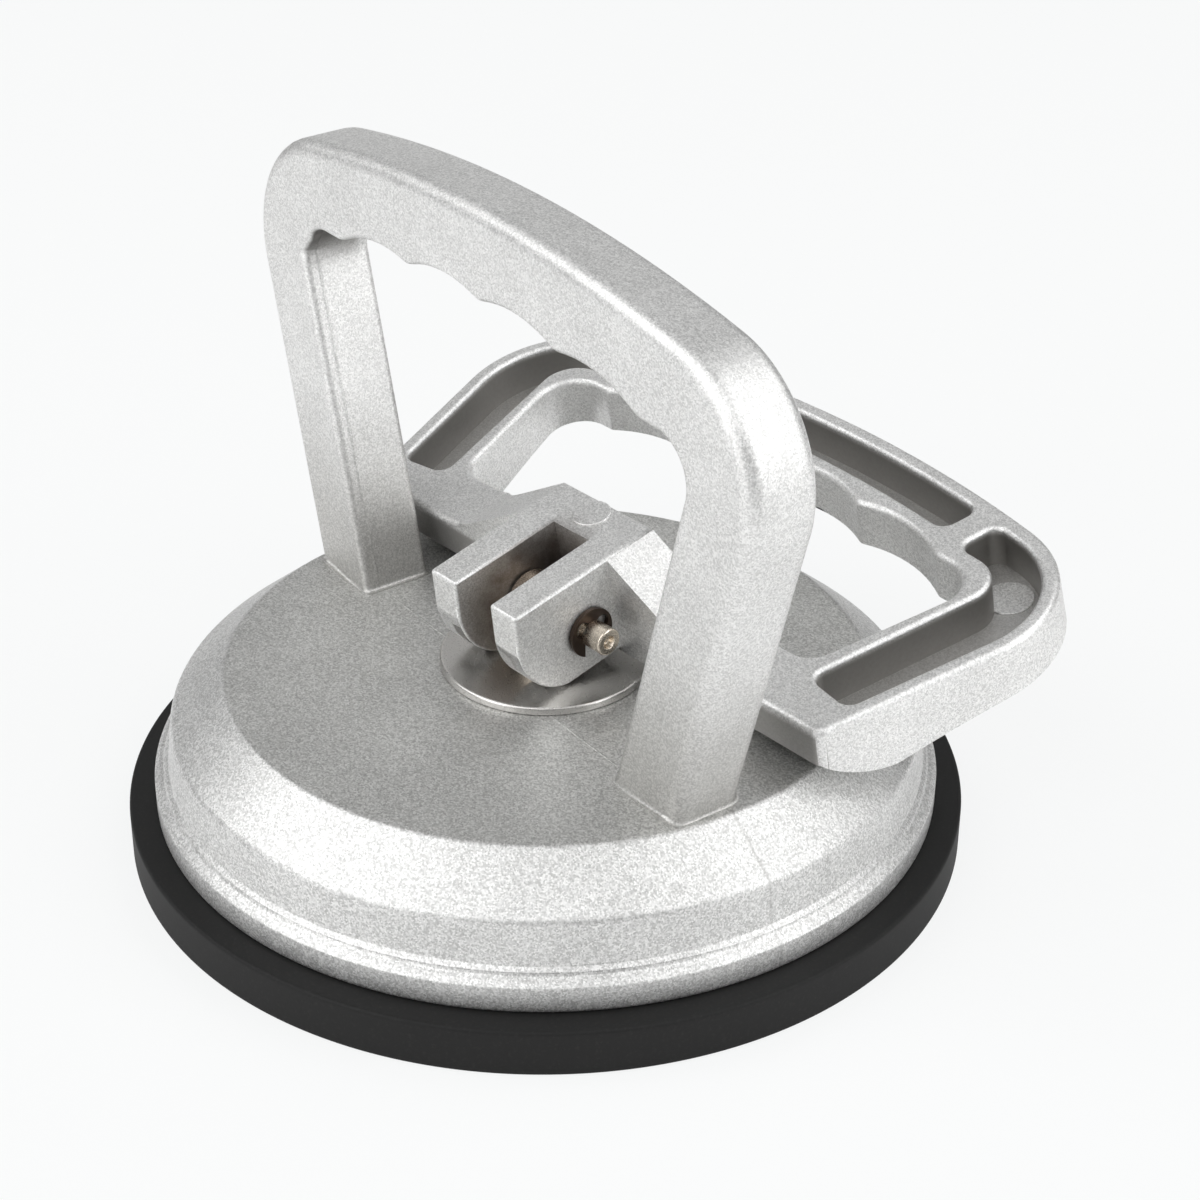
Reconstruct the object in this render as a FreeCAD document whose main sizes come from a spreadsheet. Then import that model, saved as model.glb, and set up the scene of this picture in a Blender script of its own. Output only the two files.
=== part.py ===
import FreeCAD, Part
import math
import os
import Sketcher
from FreeCAD import Placement, Rotation, Vector

# Suction lifter with one cup, lever released. Origin: middle of the sealing face, +Z up, millimetres.
# The fixed handle spans X, and the lever lies towards +Y, turned a little about the vertical.

DRIVING_SIZES = {
    # rubber pad
    "pad_radius": 60.4,
    "pad_height": 7.0,
    "pad_edge": 0.5,
    "pad_groove_radius": 50.0,
    "pad_groove_width": 3.0,
    "pad_groove_depth": 0.8,
    "pad_ring_height": 2.6,
    "pad_ring_width": 4.0,
    "pad_ring_gap": 0.3,
    # body casting, heights above the pad
    "rim_setback": 3.9,
    "rim_height": 4.8,
    "rim_wall": 5.0,
    "rim_edge": 0.7,
    "rim_ledge": 1.5,
    "bead_height": 1.2,
    "bead_setback": 0.5,
    "waist_radius": 53.7,
    "waist_height": 12.4,
    "crown_radius": 45.8,
    "crown_height": 18.8,
    "wall": 4.0,
    "boss_radius": 9.4,
    "boss_depth": 2.8,
    "rib_count": 6.0,
    "rib_width": 2.4,
    "rib_depth": 6.5,
    "rib_start": 15.0,
    # fixed handle, heights above the crown
    "handle_front": 10.9,
    "handle_depth": 11.0,
    "handle_foot": 44.0,
    "handle_corner": 61.3,
    "handle_height": 71.3,
    "handle_bow": 8.3,
    "handle_shoulder": 18.0,
    "leg_foot_width": 13.5,
    "leg_top_width": 15.7,
    "grip_width": 13.3,
    "grip_drop": 3.1,
    "opening_round": 5.6,
    "finger_depth": 1.6,
    "cusp_round": 1.6,
    "grip_round": 2.0,
    "opening_edge_round": 1.1,
    "foot_round": 0.55,
    "crown_round": 0.6,
    "bead_edge": 0.35,
    # lever, in its own frame about the hinge pin
    "pivot_height": 34.6,
    "lever_rest_tilt": 12.15,
    "lever_rest_turn": 5.0,
    "lever_top": -1.3,
    "bar_front": 5.2,
    "bar_half": 48.3,
    "bar_rear": 15.3,
    "loop_corner": 60.9,
    "loop_reach": 59.3,
    "loop_bow": 9.2,
    "loop_shoulder": 18.0,
    "loop_edge_round": 1.0,
    "loop_draft": 3.0,
    "bar_corner_round": 1.6,
    "arm_heel_width": 11.4,
    "arm_top_width": 16.2,
    "lever_grip_width": 13.5,
    "lever_grip_drop": 3.0,
    "loop_opening_round": 5.5,
    "loop_opening_heel_round": 4.0,
    "lever_finger_depth": 1.9,
    "bar_thickness": 5.7,
    "arm_belly": 10.7,
    "arm_belly_reach": 15.6,
    "grip_thickness": 8.0,
    "belly_half_gap": 27.5,
    "nose_bulge": 1.05,
    "belly_bow": 1.3,
    "pocket_depth": 6.5,
    "pocket_rim": 2.6,
    "pocket_wall": 2.4,
    "pocket_heel": 6.5,
    "pocket_taper": 1.2,
    "pocket_rib": 4.6,
    "pocket_end_round": 2.0,
    "pocket_shoulder_start": 16.7,
    "pocket_shoulder_end": 4.0,
    "pocket_shoulder_rise": 5.0,
    "grip_pocket_half": 32.8,
    "grip_pocket_outer_bow": 2.6,
    "grip_pocket_inner_bow": 2.2,
    "ear_half": 9.15,
    "ear_top": 9.5,
    "ear_nose": 11.6,
    "slot_half": 3.75,
    "slot_back": 6.8,
    "hub_rear": 13.8,
    "flank_half": 26.0,
    "cam_lift_per_turn": 22.0,
    "cam_gap": 0.2,
    "lever_swing": 77.85,
    # stud, plate, nut, spring, washer, pin and clips
    "shank_radius": 4.1,
    "shank_clearance": 0.05,
    "thread_radius": 3.6,
    "thread_clearance": 0.02,
    "eye_radius": 4.3,
    "eye_side_gap": 0.25,
    "plate_radius": 31.0,
    "plate_thickness": 3.0,
    "plate_edge": 0.6,
    "nut_across_flats": 13.0,
    "nut_height": 3.6,
    "washer_radius": 15.2,
    "washer_thickness": 1.2,
    "washer_bore_gap": 0.25,
    "washer_edge": 0.3,
    "spring_radius": 11.4,
    "spring_wire": 1.5,
    "spring_turns": 3.0,
    "spring_end_gap": 0.05,
    "pin_radius": 2.0,
    "pin_clearance": 0.04,
    "pin_overhang": 4.35,
    "pin_chamfer": 0.3,
    "pin_dimple_radius": 1.0,
    "pin_dimple_depth": 0.9,
    "clip_radius": 3.7,
    "clip_thickness": 0.7,
    "clip_side_gap": 0.15,
    "clip_groove_depth": 0.5,
    "clip_mouth": 2.5,
}


class Measure:
    """A number together with the sheet expression that gives it."""

    def __init__(self, value, text):
        self.value = value
        self.text = text

    def join(self, other, sign, value):
        """Return a new measure that joins two expressions with a sign."""
        return Measure(value, f"({self.text} {sign} {as_measure(other).text})")

    def __add__(self, other):
        return self.join(other, "+", self.value + as_measure(other).value)

    def __sub__(self, other):
        return self.join(other, "-", self.value - as_measure(other).value)

    def __mul__(self, other):
        return self.join(other, "*", self.value * as_measure(other).value)

    def __truediv__(self, other):
        return self.join(other, "/", self.value / as_measure(other).value)

    def __neg__(self):
        return Measure(-self.value, f"(-1 * {self.text})")


def as_measure(item):
    """Turn a plain number into a measure."""
    return item if isinstance(item, Measure) else Measure(float(item), repr(float(item)))


doc = FreeCAD.newDocument("suction_lifter")
sheet = doc.addObject("Spreadsheet::Sheet", "Sizes")
for row, (alias, number) in enumerate(DRIVING_SIZES.items(), start=1):
    sheet.set(f"A{row}", alias)
    sheet.set(f"B{row}", str(number))
    sheet.setAlias(f"B{row}", alias)
doc.recompute()


class Sizes:
    """Read each size of the sheet by its alias."""

    def __getattr__(self, alias):
        return Measure(float(getattr(sheet, alias)), f"Sizes.{alias}")


size = Sizes()
ZERO = as_measure(0)

# Sizes that follow from the driving ones.
rim_radius = size.pad_radius - size.rim_setback
rim_inner = rim_radius - size.rim_wall
rim_top = size.pad_height + size.rim_height
bead_radius = rim_radius - size.rim_ledge
bead_top = rim_top + size.bead_height
waist_z = size.pad_height + size.waist_height
crown_z = size.pad_height + size.crown_height
ceiling_z = crown_z - size.wall
waist_inner = size.waist_radius - size.wall
waist_inner_z = waist_z - size.wall * 0.6
crown_inner = size.crown_radius - size.wall / 2
boss_z = ceiling_z - size.boss_depth
shank_bore = size.shank_radius + size.shank_clearance
thread_bore = size.thread_radius + size.thread_clearance
plate_top = size.pad_height + size.plate_thickness
washer_top = crown_z + size.washer_thickness
pin_bore = size.pin_radius + size.pin_clearance
handle_back = size.handle_depth - size.handle_front
handle_corner_height = size.handle_height - size.handle_bow
opening_height = size.handle_height - size.grip_width
opening_corner_height = opening_height - size.grip_drop
opening_foot = size.handle_foot - size.leg_foot_width
opening_corner = size.handle_corner - size.leg_top_width
finger_pitch = opening_corner * 0.375
loop_corner_reach = size.loop_reach - size.loop_bow
loop_opening_half = size.bar_half - size.arm_heel_width
loop_opening_corner = size.loop_corner - size.arm_top_width
lever_finger_pitch = loop_opening_corner * 0.39
loop_opening_reach = size.loop_reach - size.lever_grip_width
loop_opening_corner_reach = loop_opening_reach - size.lever_grip_drop
cam_start = size.pivot_height - washer_top - size.cam_gap
cam_rate = size.cam_lift_per_turn / (2 * math.pi)
full_lift = size.cam_lift_per_turn * size.lever_swing / 360
stud_flat_foot = washer_top - full_lift - size.washer_thickness / 2


def bind(item, name, measure):
    """Tie one property of a document object to the sheet."""
    item.setExpression(name, measure.text)


def new_body(label):
    """Add an empty body."""
    body = doc.addObject("PartDesign::Body", label)
    body.Label = label
    return body


def sketch_on(body, name, role, offset=None):
    """Add a sketch on one of the body's own origin planes, moved along its normal."""
    sketch = body.newObject("Sketcher::SketchObject", name)
    plane = next(item for item in body.Origin.OriginFeatures if item.Role == role)
    sketch.AttachmentSupport = [(plane, "")]
    sketch.MapMode = "FlatFace"
    if offset is not None:
        bind(sketch, "AttachmentOffset.Base.z", offset)
    return sketch


def pin_vertex(sketch, edge, end, corner):
    """Hold one end of an edge at a corner given by two measures."""
    for kind, measure in (("DistanceX", corner[0]), ("DistanceY", corner[1])):
        if measure.value == 0 and measure is ZERO:
            axis = -2 if kind == "DistanceX" else -1
            sketch.addConstraint(Sketcher.Constraint("PointOnObject", edge, end, axis))
            continue
        number = sketch.addConstraint(Sketcher.Constraint(kind, -1, 1, edge, end, measure.value))
        sketch.setExpression(f"Constraints[{number}]", measure.text)


def bulged_arc(start, end, rise):
    """Arc from start to end that rises over its chord, to the left of the walk when positive."""
    chord = end - start
    left = Vector(-chord.y, chord.x, 0).normalize()
    radius = chord.Length ** 2 / (8 * abs(rise)) + abs(rise) / 2
    centre = (start + end) / 2 + left * (rise - math.copysign(radius, rise))
    bounds = [math.atan2(spot.y - centre.y, spot.x - centre.x) for spot in (start, end)]
    if rise > 0:
        bounds.reverse()
    return Part.ArcOfCircle(Part.Circle(centre, Vector(0, 0, 1), radius), bounds[0], bounds[1])


def outline(sketch, corners, bulges=None):
    """Draw a closed outline through the corners; bulges gives the rise of the arcs by edge number."""
    bulges = bulges or {}
    spots = [Vector(x.value, y.value, 0) for x, y in corners]
    count = len(corners)
    first = sketch.GeometryCount
    ends = []
    for step in range(count):
        start, end = spots[step], spots[(step + 1) % count]
        if step not in bulges:
            sketch.addGeometry(Part.LineSegment(start, end))
            ends.append((1, 2))
            continue
        sketch.addGeometry(bulged_arc(start, end, bulges[step].value))
        ends.append((2, 1) if bulges[step].value > 0 else (1, 2))
    for step in range(count):
        following = (step + 1) % count
        sketch.addConstraint(
            Sketcher.Constraint("Coincident", first + step, ends[step][1], first + following, ends[following][0])
        )
    for step, corner in enumerate(corners):
        pin_vertex(sketch, first + step, ends[step][0], corner)
    for step, rise in bulges.items():
        (x0, y0), (x1, y1) = corners[step], corners[(step + 1) % count]
        run, climb = x1 - x0, y1 - y0
        size_of_rise = rise if rise.value > 0 else -rise
        chord_squared = run * run + climb * climb
        radius = chord_squared / (size_of_rise * 8) + size_of_rise / 2
        number = sketch.addConstraint(Sketcher.Constraint("Radius", first + step, radius.value))
        sketch.setExpression(f"Constraints[{number}]", radius.text)


def pad(body, sketch, length, both_ways=False, backwards=False):
    """Pad a sketch by a length."""
    feature = body.newObject("PartDesign::Pad", f"{sketch.Name}_pad")
    feature.Profile = sketch
    bind(feature, "Length", length)
    feature.Midplane = both_ways
    feature.Reversed = backwards
    return feature


def pocket(body, sketch, length, both_ways=False, backwards=False):
    """Cut a sketch into the body by a length and check that it removes something."""
    doc.recompute()
    before = body.Shape.Volume
    feature = body.newObject("PartDesign::Pocket", f"{sketch.Name}_cut")
    feature.Profile = sketch
    bind(feature, "Length", length)
    feature.Midplane = both_ways
    feature.Reversed = backwards
    doc.recompute()
    if body.Shape.Volume >= before:
        raise RuntimeError(f"{feature.Name} cuts nothing")
    return feature


def revolve(body, sketch):
    """Revolve a sketch of the XZ plane a full turn about its vertical axis."""
    feature = body.newObject("PartDesign::Revolution", f"{sketch.Name}_turned")
    feature.Profile = sketch
    feature.ReferenceAxis = (sketch, ["V_Axis"])
    feature.Angle = 360
    return feature


def edges_where(shape, test):
    """Names of the edges of a shape that pass a test."""
    return [f"Edge{number}" for number, edge in enumerate(shape.Edges, start=1) if test(edge)]


def dress_edges(body, kind, name, amount, test):
    """Round or chamfer the edges of the body's tip that pass a test."""
    doc.recompute()
    base = body.Tip
    names = edges_where(base.Shape, test)
    if not names:
        raise RuntimeError(f"{name} finds no edge")
    feature = body.newObject(f"PartDesign::{kind}", name)
    feature.Base = (base, names)
    bind(feature, "Radius" if kind == "Fillet" else "Size", amount)
    doc.recompute()
    if "Invalid" in feature.State:
        raise RuntimeError(f"{name} can't take {amount.value}")
    return feature


def round_edges(body, name, radius, test):
    """Fillet the edges of the body's tip that pass a test."""
    return dress_edges(body, "Fillet", name, radius, test)


def chamfer_edges(body, name, amount, test):
    """Chamfer the edges of the body's tip that pass a test."""
    return dress_edges(body, "Chamfer", name, amount, test)


def runs_along(edge, axis):
    """Tell whether a straight edge runs along X, Y or Z."""
    if edge.Curve.TypeId != "Part::GeomLine":
        return False
    direction = edge.Curve.Direction
    return abs(abs(getattr(direction, axis)) - 1) < 1e-6


def middle_of(edge):
    """Point halfway along an edge."""
    return edge.valueAt((edge.FirstParameter + edge.LastParameter) / 2)


def lies_at(edge, axis, place):
    """Tell whether a whole edge lies in the plane where a coordinate has one value."""
    spots = [edge.valueAt(edge.FirstParameter), middle_of(edge), edge.valueAt(edge.LastParameter)]
    return all(abs(getattr(spot, axis) - place) < 1e-4 for spot in spots)


def mirrored(corners):
    """Corners of a right half, walked upwards, followed by their mirror images walked down."""
    return corners + [(-x, y) for x, y in reversed(corners) if x is not ZERO]


def ring_edge(edge, radius, height):
    """Tell whether an edge is a full circle about the vertical axis, of this radius and height."""
    if edge.Curve.TypeId != "Part::GeomCircle" or not lies_at(edge, "z", height.value):
        return False
    return abs(edge.Curve.Radius - radius.value) < 1e-3


def scallop_corners(pitch, outer_reach, middle_reach):
    """Cusps between the fingers from right to left, on a bow that drops towards both ends."""
    drop = middle_reach - outer_reach
    inner_reach = middle_reach - drop / 4
    return [
        (pitch * 2, outer_reach),
        (pitch, inner_reach),
        (ZERO, middle_reach),
        (-pitch, inner_reach),
        (-pitch * 2, outer_reach),
    ]


# Rubber pad: sealing face at the bottom with a vent groove, locating ring on top inside the rim.
ring_outer = rim_inner - size.pad_ring_gap
ring_inner = ring_outer - size.pad_ring_width
ring_top = size.pad_height + size.pad_ring_height
groove_outer = size.pad_groove_radius + size.pad_groove_width
rubber = new_body("rubber_pad")
rubber_profile = sketch_on(rubber, "pad_section", "XZ_Plane")
outline(
    rubber_profile,
    [
        (ZERO, ZERO),
        (size.pad_groove_radius, ZERO),
        (size.pad_groove_radius, size.pad_groove_depth),
        (groove_outer, size.pad_groove_depth),
        (groove_outer, ZERO),
        (size.pad_radius, ZERO),
        (size.pad_radius, size.pad_height),
        (ring_outer, size.pad_height),
        (ring_outer, ring_top),
        (ring_inner, ring_top),
        (ring_inner, size.pad_height),
        (ZERO, size.pad_height),
    ],
)
revolve(rubber, rubber_profile)
chamfer_edges(
    rubber,
    "pad_edges",
    size.pad_edge,
    lambda edge: ring_edge(edge, size.pad_radius, ZERO)
    or ring_edge(edge, size.pad_radius, size.pad_height),
)

# Backing plate on the rubber, tapped for the stud.
plate = new_body("backing_plate")
plate_profile = sketch_on(plate, "plate_section", "XZ_Plane")
outline(
    plate_profile,
    [
        (thread_bore, size.pad_height),
        (size.plate_radius, size.pad_height),
        (size.plate_radius, plate_top),
        (thread_bore, plate_top),
    ],
)
revolve(plate, plate_profile)
chamfer_edges(plate, "plate_edge", size.plate_edge, lambda edge: ring_edge(edge, size.plate_radius, plate_top))

# Lock nut on the plate: a hexagon with its corners turned off at the top, and the bore.
nut_blank = doc.addObject("Part::Prism", "nut_blank")
nut_blank.Polygon = 6
bind(nut_blank, "Circumradius", size.nut_across_flats / (2 * math.cos(math.pi / 6)))
bind(nut_blank, "Height", size.nut_height)
bind(nut_blank, "Placement.Base.z", plate_top)
nut_cone = doc.addObject("Part::Cone", "nut_cone")
bind(nut_cone, "Radius1", size.nut_across_flats / 2 + size.nut_height)
bind(nut_cone, "Radius2", size.nut_across_flats / 2 - size.nut_height * 0.05)
bind(nut_cone, "Height", size.nut_height)
bind(nut_cone, "Placement.Base.z", plate_top)
nut_round = doc.addObject("Part::Common", "nut_round")
nut_round.Base = nut_blank
nut_round.Tool = nut_cone
nut_hole = doc.addObject("Part::Cylinder", "nut_hole")
bind(nut_hole, "Radius", thread_bore)
bind(nut_hole, "Height", plate_top + size.nut_height * 2)
lock_nut = doc.addObject("Part::Cut", "lock_nut")
lock_nut.Base = nut_round
lock_nut.Tool = nut_hole

# Pull stud: eye between the ears, round shank through the casting, thinner threaded end.
shank_foot = plate_top + size.nut_height
stud_shank = doc.addObject("Part::Cylinder", "stud_shank")
bind(stud_shank, "Radius", size.shank_radius)
bind(stud_shank, "Height", size.pivot_height - shank_foot)
bind(stud_shank, "Placement.Base.z", shank_foot)
stud_thread = doc.addObject("Part::Cylinder", "stud_thread")
bind(stud_thread, "Radius", size.thread_radius)
bind(stud_thread, "Height", shank_foot - size.pad_height + size.thread_radius)
bind(stud_thread, "Placement.Base.z", size.pad_height)
eye_width = (size.slot_half - size.eye_side_gap) * 2
stud_eye = doc.addObject("Part::Cylinder", "stud_eye")
bind(stud_eye, "Radius", size.eye_radius)
bind(stud_eye, "Height", eye_width)
stud_eye.Placement.Rotation = Rotation(Vector(0, 1, 0), 90)
bind(stud_eye, "Placement.Base.x", -eye_width / 2)
bind(stud_eye, "Placement.Base.z", size.pivot_height)
stud_flats = doc.addObject("Part::Box", "stud_flats")
bind(stud_flats, "Length", eye_width)
bind(stud_flats, "Width", size.shank_radius * 4)
bind(stud_flats, "Height", size.pivot_height * 2)
bind(stud_flats, "Placement.Base.x", -eye_width / 2)
bind(stud_flats, "Placement.Base.y", -size.shank_radius * 2)
bind(stud_flats, "Placement.Base.z", stud_flat_foot)
stud_round_zone = doc.addObject("Part::Cylinder", "stud_round_zone")
bind(stud_round_zone, "Radius", size.shank_radius * 2)
bind(stud_round_zone, "Height", stud_flat_foot)
stud_zone = doc.addObject("Part::MultiFuse", "stud_zone")
stud_zone.Shapes = [stud_flats, stud_round_zone]
stud_flatted = doc.addObject("Part::Common", "stud_flatted")
stud_flatted.Base = stud_shank
stud_flatted.Tool = stud_zone
stud_solid = doc.addObject("Part::MultiFuse", "stud_solid")
stud_solid.Shapes = [stud_flatted, stud_thread, stud_eye]
stud_hole = doc.addObject("Part::Cylinder", "stud_hole")
bind(stud_hole, "Radius", pin_bore)
bind(stud_hole, "Height", eye_width * 2)
stud_hole.Placement.Rotation = Rotation(Vector(0, 1, 0), 90)
bind(stud_hole, "Placement.Base.x", -eye_width)
bind(stud_hole, "Placement.Base.z", size.pivot_height)
pull_stud = doc.addObject("Part::Cut", "pull_stud")
pull_stud.Base = stud_solid
pull_stud.Tool = stud_hole
pull_stud.Placement.Rotation = Rotation(Vector(0, 0, 1), size.lever_rest_turn.value)

# Return spring of square wire, from the plate up to the casting's ceiling round its boss.
spring_low = plate_top + size.spring_wire / 2 + size.spring_end_gap
spring_high = ceiling_z - size.spring_wire / 2 - size.spring_end_gap
spring_rise = spring_high.value - spring_low.value
spring_path = Part.makeHelix(spring_rise / size.spring_turns.value, spring_rise, size.spring_radius.value)
half_wire = size.spring_wire.value / 2
wire_corners = [
    Vector(size.spring_radius.value + across * half_wire, 0, along * half_wire)
    for across, along in ((-1, -1), (1, -1), (1, 1), (-1, 1), (-1, -1))
]
spring_section = Part.makePolygon(wire_corners)
return_spring = doc.addObject("Part::Feature", "return_spring")
return_spring.Shape = Part.Wire(spring_path.Edges).makePipeShell([spring_section], True, True)
return_spring.Placement = Placement(Vector(0, 0, spring_low.value), Rotation())

# Cam washer: flat steel ring with its upper edge broken.
washer = new_body("cam_washer")
washer_profile = sketch_on(washer, "washer_section", "XZ_Plane")
washer_bore = size.shank_radius + size.washer_bore_gap
outline(
    washer_profile,
    [
        (washer_bore, crown_z),
        (size.washer_radius, crown_z),
        (size.washer_radius, washer_top),
        (washer_bore, washer_top),
    ],
)
revolve(washer, washer_profile)
chamfer_edges(
    washer, "washer_rim", size.washer_edge, lambda edge: ring_edge(edge, size.washer_radius, washer_top)
)

# Body casting. The dome is one revolved section: rim, ledge with its bead, skirt, chamfer and crown.
casting = new_body("body_casting")
dome_profile = sketch_on(casting, "dome_section", "XZ_Plane")
outline(
    dome_profile,
    [
        (shank_bore, boss_z),
        (size.boss_radius, boss_z),
        (size.boss_radius, ceiling_z),
        (crown_inner, ceiling_z),
        (waist_inner, waist_inner_z),
        (rim_inner, ring_top + size.pad_ring_gap),
        (rim_inner, size.pad_height),
        (rim_radius, size.pad_height),
        (rim_radius, rim_top),
        (bead_radius, rim_top),
        (bead_radius, bead_top),
        (bead_radius - size.bead_setback, bead_top),
        (size.waist_radius, waist_z),
        (size.crown_radius, crown_z),
        (shank_bore, crown_z),
    ],
)
revolve(casting, dome_profile)
round_edges(
    casting,
    "dome_edges",
    size.crown_round,
    lambda edge: ring_edge(edge, size.crown_radius, crown_z)
    or ring_edge(edge, size.waist_radius, waist_z),
)
chamfer_edges(
    casting,
    "rim_edges",
    size.rim_edge,
    lambda edge: ring_edge(edge, rim_radius, rim_top)
    or ring_edge(edge, rim_radius, size.pad_height),
)
chamfer_edges(casting, "bead_edge", size.bead_edge, lambda edge: ring_edge(edge, bead_radius, bead_top))

# Stiffening ribs under the dome, from outside the spring to the rim wall.
rib_embed = size.wall / 4
rib_low = ceiling_z - size.rib_depth
rib_profile = sketch_on(casting, "rib_side", "XZ_Plane")
outline(
    rib_profile,
    [
        (size.rib_start, rib_low),
        (waist_inner + rib_embed, rib_low),
        (waist_inner + rib_embed, waist_inner_z),
        (crown_inner, ceiling_z + rib_embed),
        (size.rib_start, ceiling_z + rib_embed),
    ],
)
rib = pad(casting, rib_profile, size.rib_width, both_ways=True)
doc.recompute()
ribs = casting.newObject("PartDesign::PolarPattern", "ribs")
ribs.Originals = [rib]
ribs.Axis = (rib_profile, ["V_Axis"])
ribs.Angle = 360
ribs.Occurrences = int(size.rib_count.value)
casting.Tip = ribs
doc.recompute()

# The D handle: legs that flare, a bowed grip and a scalloped opening.
handle_embed = size.wall / 2
flare = (size.handle_corner - size.handle_foot) / handle_corner_height
handle_profile = sketch_on(casting, "handle_outline", "XZ_Plane", size.handle_front)
handle_foot_corner = (size.handle_foot - flare * handle_embed, crown_z - handle_embed)
handle_top_corner = (size.handle_corner, crown_z + handle_corner_height)
outline(
    handle_profile,
    mirrored([handle_foot_corner, handle_top_corner]),
    {1: -size.handle_bow},
)
pad(casting, handle_profile, size.handle_depth, backwards=True)

opening_profile = sketch_on(casting, "handle_opening", "XZ_Plane", size.handle_front)
cusps = scallop_corners(finger_pitch, crown_z + opening_corner_height, crown_z + opening_height)
outline(
    opening_profile,
    [(opening_foot, crown_z), (opening_corner, crown_z + opening_corner_height)]
    + cusps
    + [(-opening_corner, crown_z + opening_corner_height), (-opening_foot, crown_z)],
    {step: -size.finger_depth for step in (2, 3, 4, 5)},
)
pocket(casting, opening_profile, size.handle_depth)

# The stud's bore, cut last because the handle's root crosses it.
bore_sketch = sketch_on(casting, "stud_bore", "XY_Plane", crown_z)
bore_sketch.addGeometry(Part.Circle(Vector(0, 0, 0), Vector(0, 0, 1), shank_bore.value))
bore_sketch.addConstraint(Sketcher.Constraint("Coincident", 0, 3, -1, 1))
bore_radius = bore_sketch.addConstraint(Sketcher.Constraint("Radius", 0, shank_bore.value))
bore_sketch.setExpression(f"Constraints[{bore_radius}]", shank_bore.text)
pocket(casting, bore_sketch, crown_z)


def handle_corner_edge(edge, half_width, height):
    """Tell whether an edge runs through the handle at a corner of its outline."""
    spot = middle_of(edge)
    return (
        runs_along(edge, "y")
        and abs(abs(spot.x) - half_width.value) < 1e-3
        and abs(spot.z - height.value) < 1e-3
    )


round_edges(
    casting,
    "handle_shoulders",
    size.handle_shoulder,
    lambda edge: handle_corner_edge(edge, *handle_top_corner),
)
opening_top_corner = (opening_corner, crown_z + opening_corner_height)
right_cusps = [(spot_x, spot_z) for spot_x, spot_z in cusps if spot_x.value >= 0]
round_edges(
    casting,
    "opening_corners",
    size.opening_round,
    lambda edge: handle_corner_edge(edge, *opening_top_corner),
)
round_edges(
    casting,
    "cusp_rounds",
    size.cusp_round,
    lambda edge: any(handle_corner_edge(edge, spot_x, spot_z) for spot_x, spot_z in right_cusps),
)


def handle_face_edge(edge, inside):
    """Tell whether an edge bounds the front or back face of the handle, in the opening or outside it."""
    if not (lies_at(edge, "y", handle_back.value) or lies_at(edge, "y", -size.handle_front.value)):
        return False
    spot = middle_of(edge)
    height = spot.z - crown_z.value
    if height < 0.5:
        return False
    side_gap = (opening_foot.value + size.handle_foot.value) / 2 + flare.value * height
    top_gap = (opening_height.value + size.handle_height.value) / 2
    within = abs(spot.x) < side_gap and height < top_gap
    return within == inside


round_edges(casting, "grip_edges", size.grip_round, lambda edge: handle_face_edge(edge, False))
round_edges(casting, "opening_edges", size.opening_edge_round, lambda edge: handle_face_edge(edge, True))


def foot_edge(edge):
    """Tell whether an edge lies where a leg of the handle meets the crown."""
    spot = middle_of(edge)
    reach = math.hypot(spot.x, spot.y)
    return (
        lies_at(edge, "z", crown_z.value)
        and size.washer_radius.value < reach
        and not ring_edge(edge, size.crown_radius, crown_z)
    )


round_edges(casting, "foot_edges", size.foot_round, foot_edge)

# Lever, drawn in its own frame: x along the pin, y out along the arms, z up through the hub.
lever = new_body("lever_loop")
belly_z = size.lever_top - size.bar_thickness
loop_flare = (size.loop_corner - size.bar_half) / (loop_corner_reach - size.bar_front)
loop_profile = sketch_on(lever, "loop_outline", "XY_Plane", size.lever_top)
outline(
    loop_profile,
    [
        (size.bar_half, size.bar_front),
        (size.loop_corner, loop_corner_reach),
        (-size.loop_corner, loop_corner_reach),
        (-size.bar_half, size.bar_front),
    ],
    {1: -size.loop_bow},
)
loop_pad = pad(lever, loop_profile, size.arm_belly * 1.3, backwards=True)
bind(loop_pad, "TaperAngle", size.loop_draft)

loop_opening = sketch_on(lever, "loop_opening", "XY_Plane", size.lever_top)
loop_cusps = scallop_corners(lever_finger_pitch, loop_opening_corner_reach, loop_opening_reach)
outline(
    loop_opening,
    [
        (loop_opening_half, size.bar_rear),
        (loop_opening_corner, loop_opening_corner_reach),
    ]
    + loop_cusps
    + [
        (-loop_opening_corner, loop_opening_corner_reach),
        (-loop_opening_half, size.bar_rear),
    ],
    {step: -size.lever_finger_depth for step in (2, 3, 4, 5)},
)
pocket(lever, loop_opening, size.arm_belly * 1.3)


def lever_corner_edge(edge, half_width, reach):
    """Tell whether an edge drops from the lever's top face at a corner of its outline."""
    ends = [edge.valueAt(edge.FirstParameter), edge.valueAt(edge.LastParameter)]
    foot, head = sorted(ends, key=lambda spot: spot.z)
    return (
        foot.z < head.z - size.bar_thickness.value / 2
        and abs(head.z - size.lever_top.value) < 1e-3
        and abs(abs(head.x) - half_width.value) < 1e-3
        and abs(head.y - reach.value) < 1e-3
    )


def round_corners(name, radius, corners):
    """Round the upright edges of the lever at the given corners and their mirror images."""
    round_edges(
        lever, name, radius, lambda edge: any(lever_corner_edge(edge, *corner) for corner in corners)
    )


round_corners("loop_shoulders", size.loop_shoulder, [(size.loop_corner, loop_corner_reach)])
round_corners("bar_corners", size.bar_corner_round, [(size.bar_half, size.bar_front)])
round_corners(
    "loop_opening_corners",
    size.loop_opening_round,
    [(loop_opening_corner, loop_opening_corner_reach)],
)
round_corners(
    "loop_opening_heels", size.loop_opening_heel_round, [(loop_opening_half, size.bar_rear)]
)
round_corners("loop_cusps", size.cusp_round, [cusp for cusp in loop_cusps if cusp[0].value >= 0])

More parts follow.
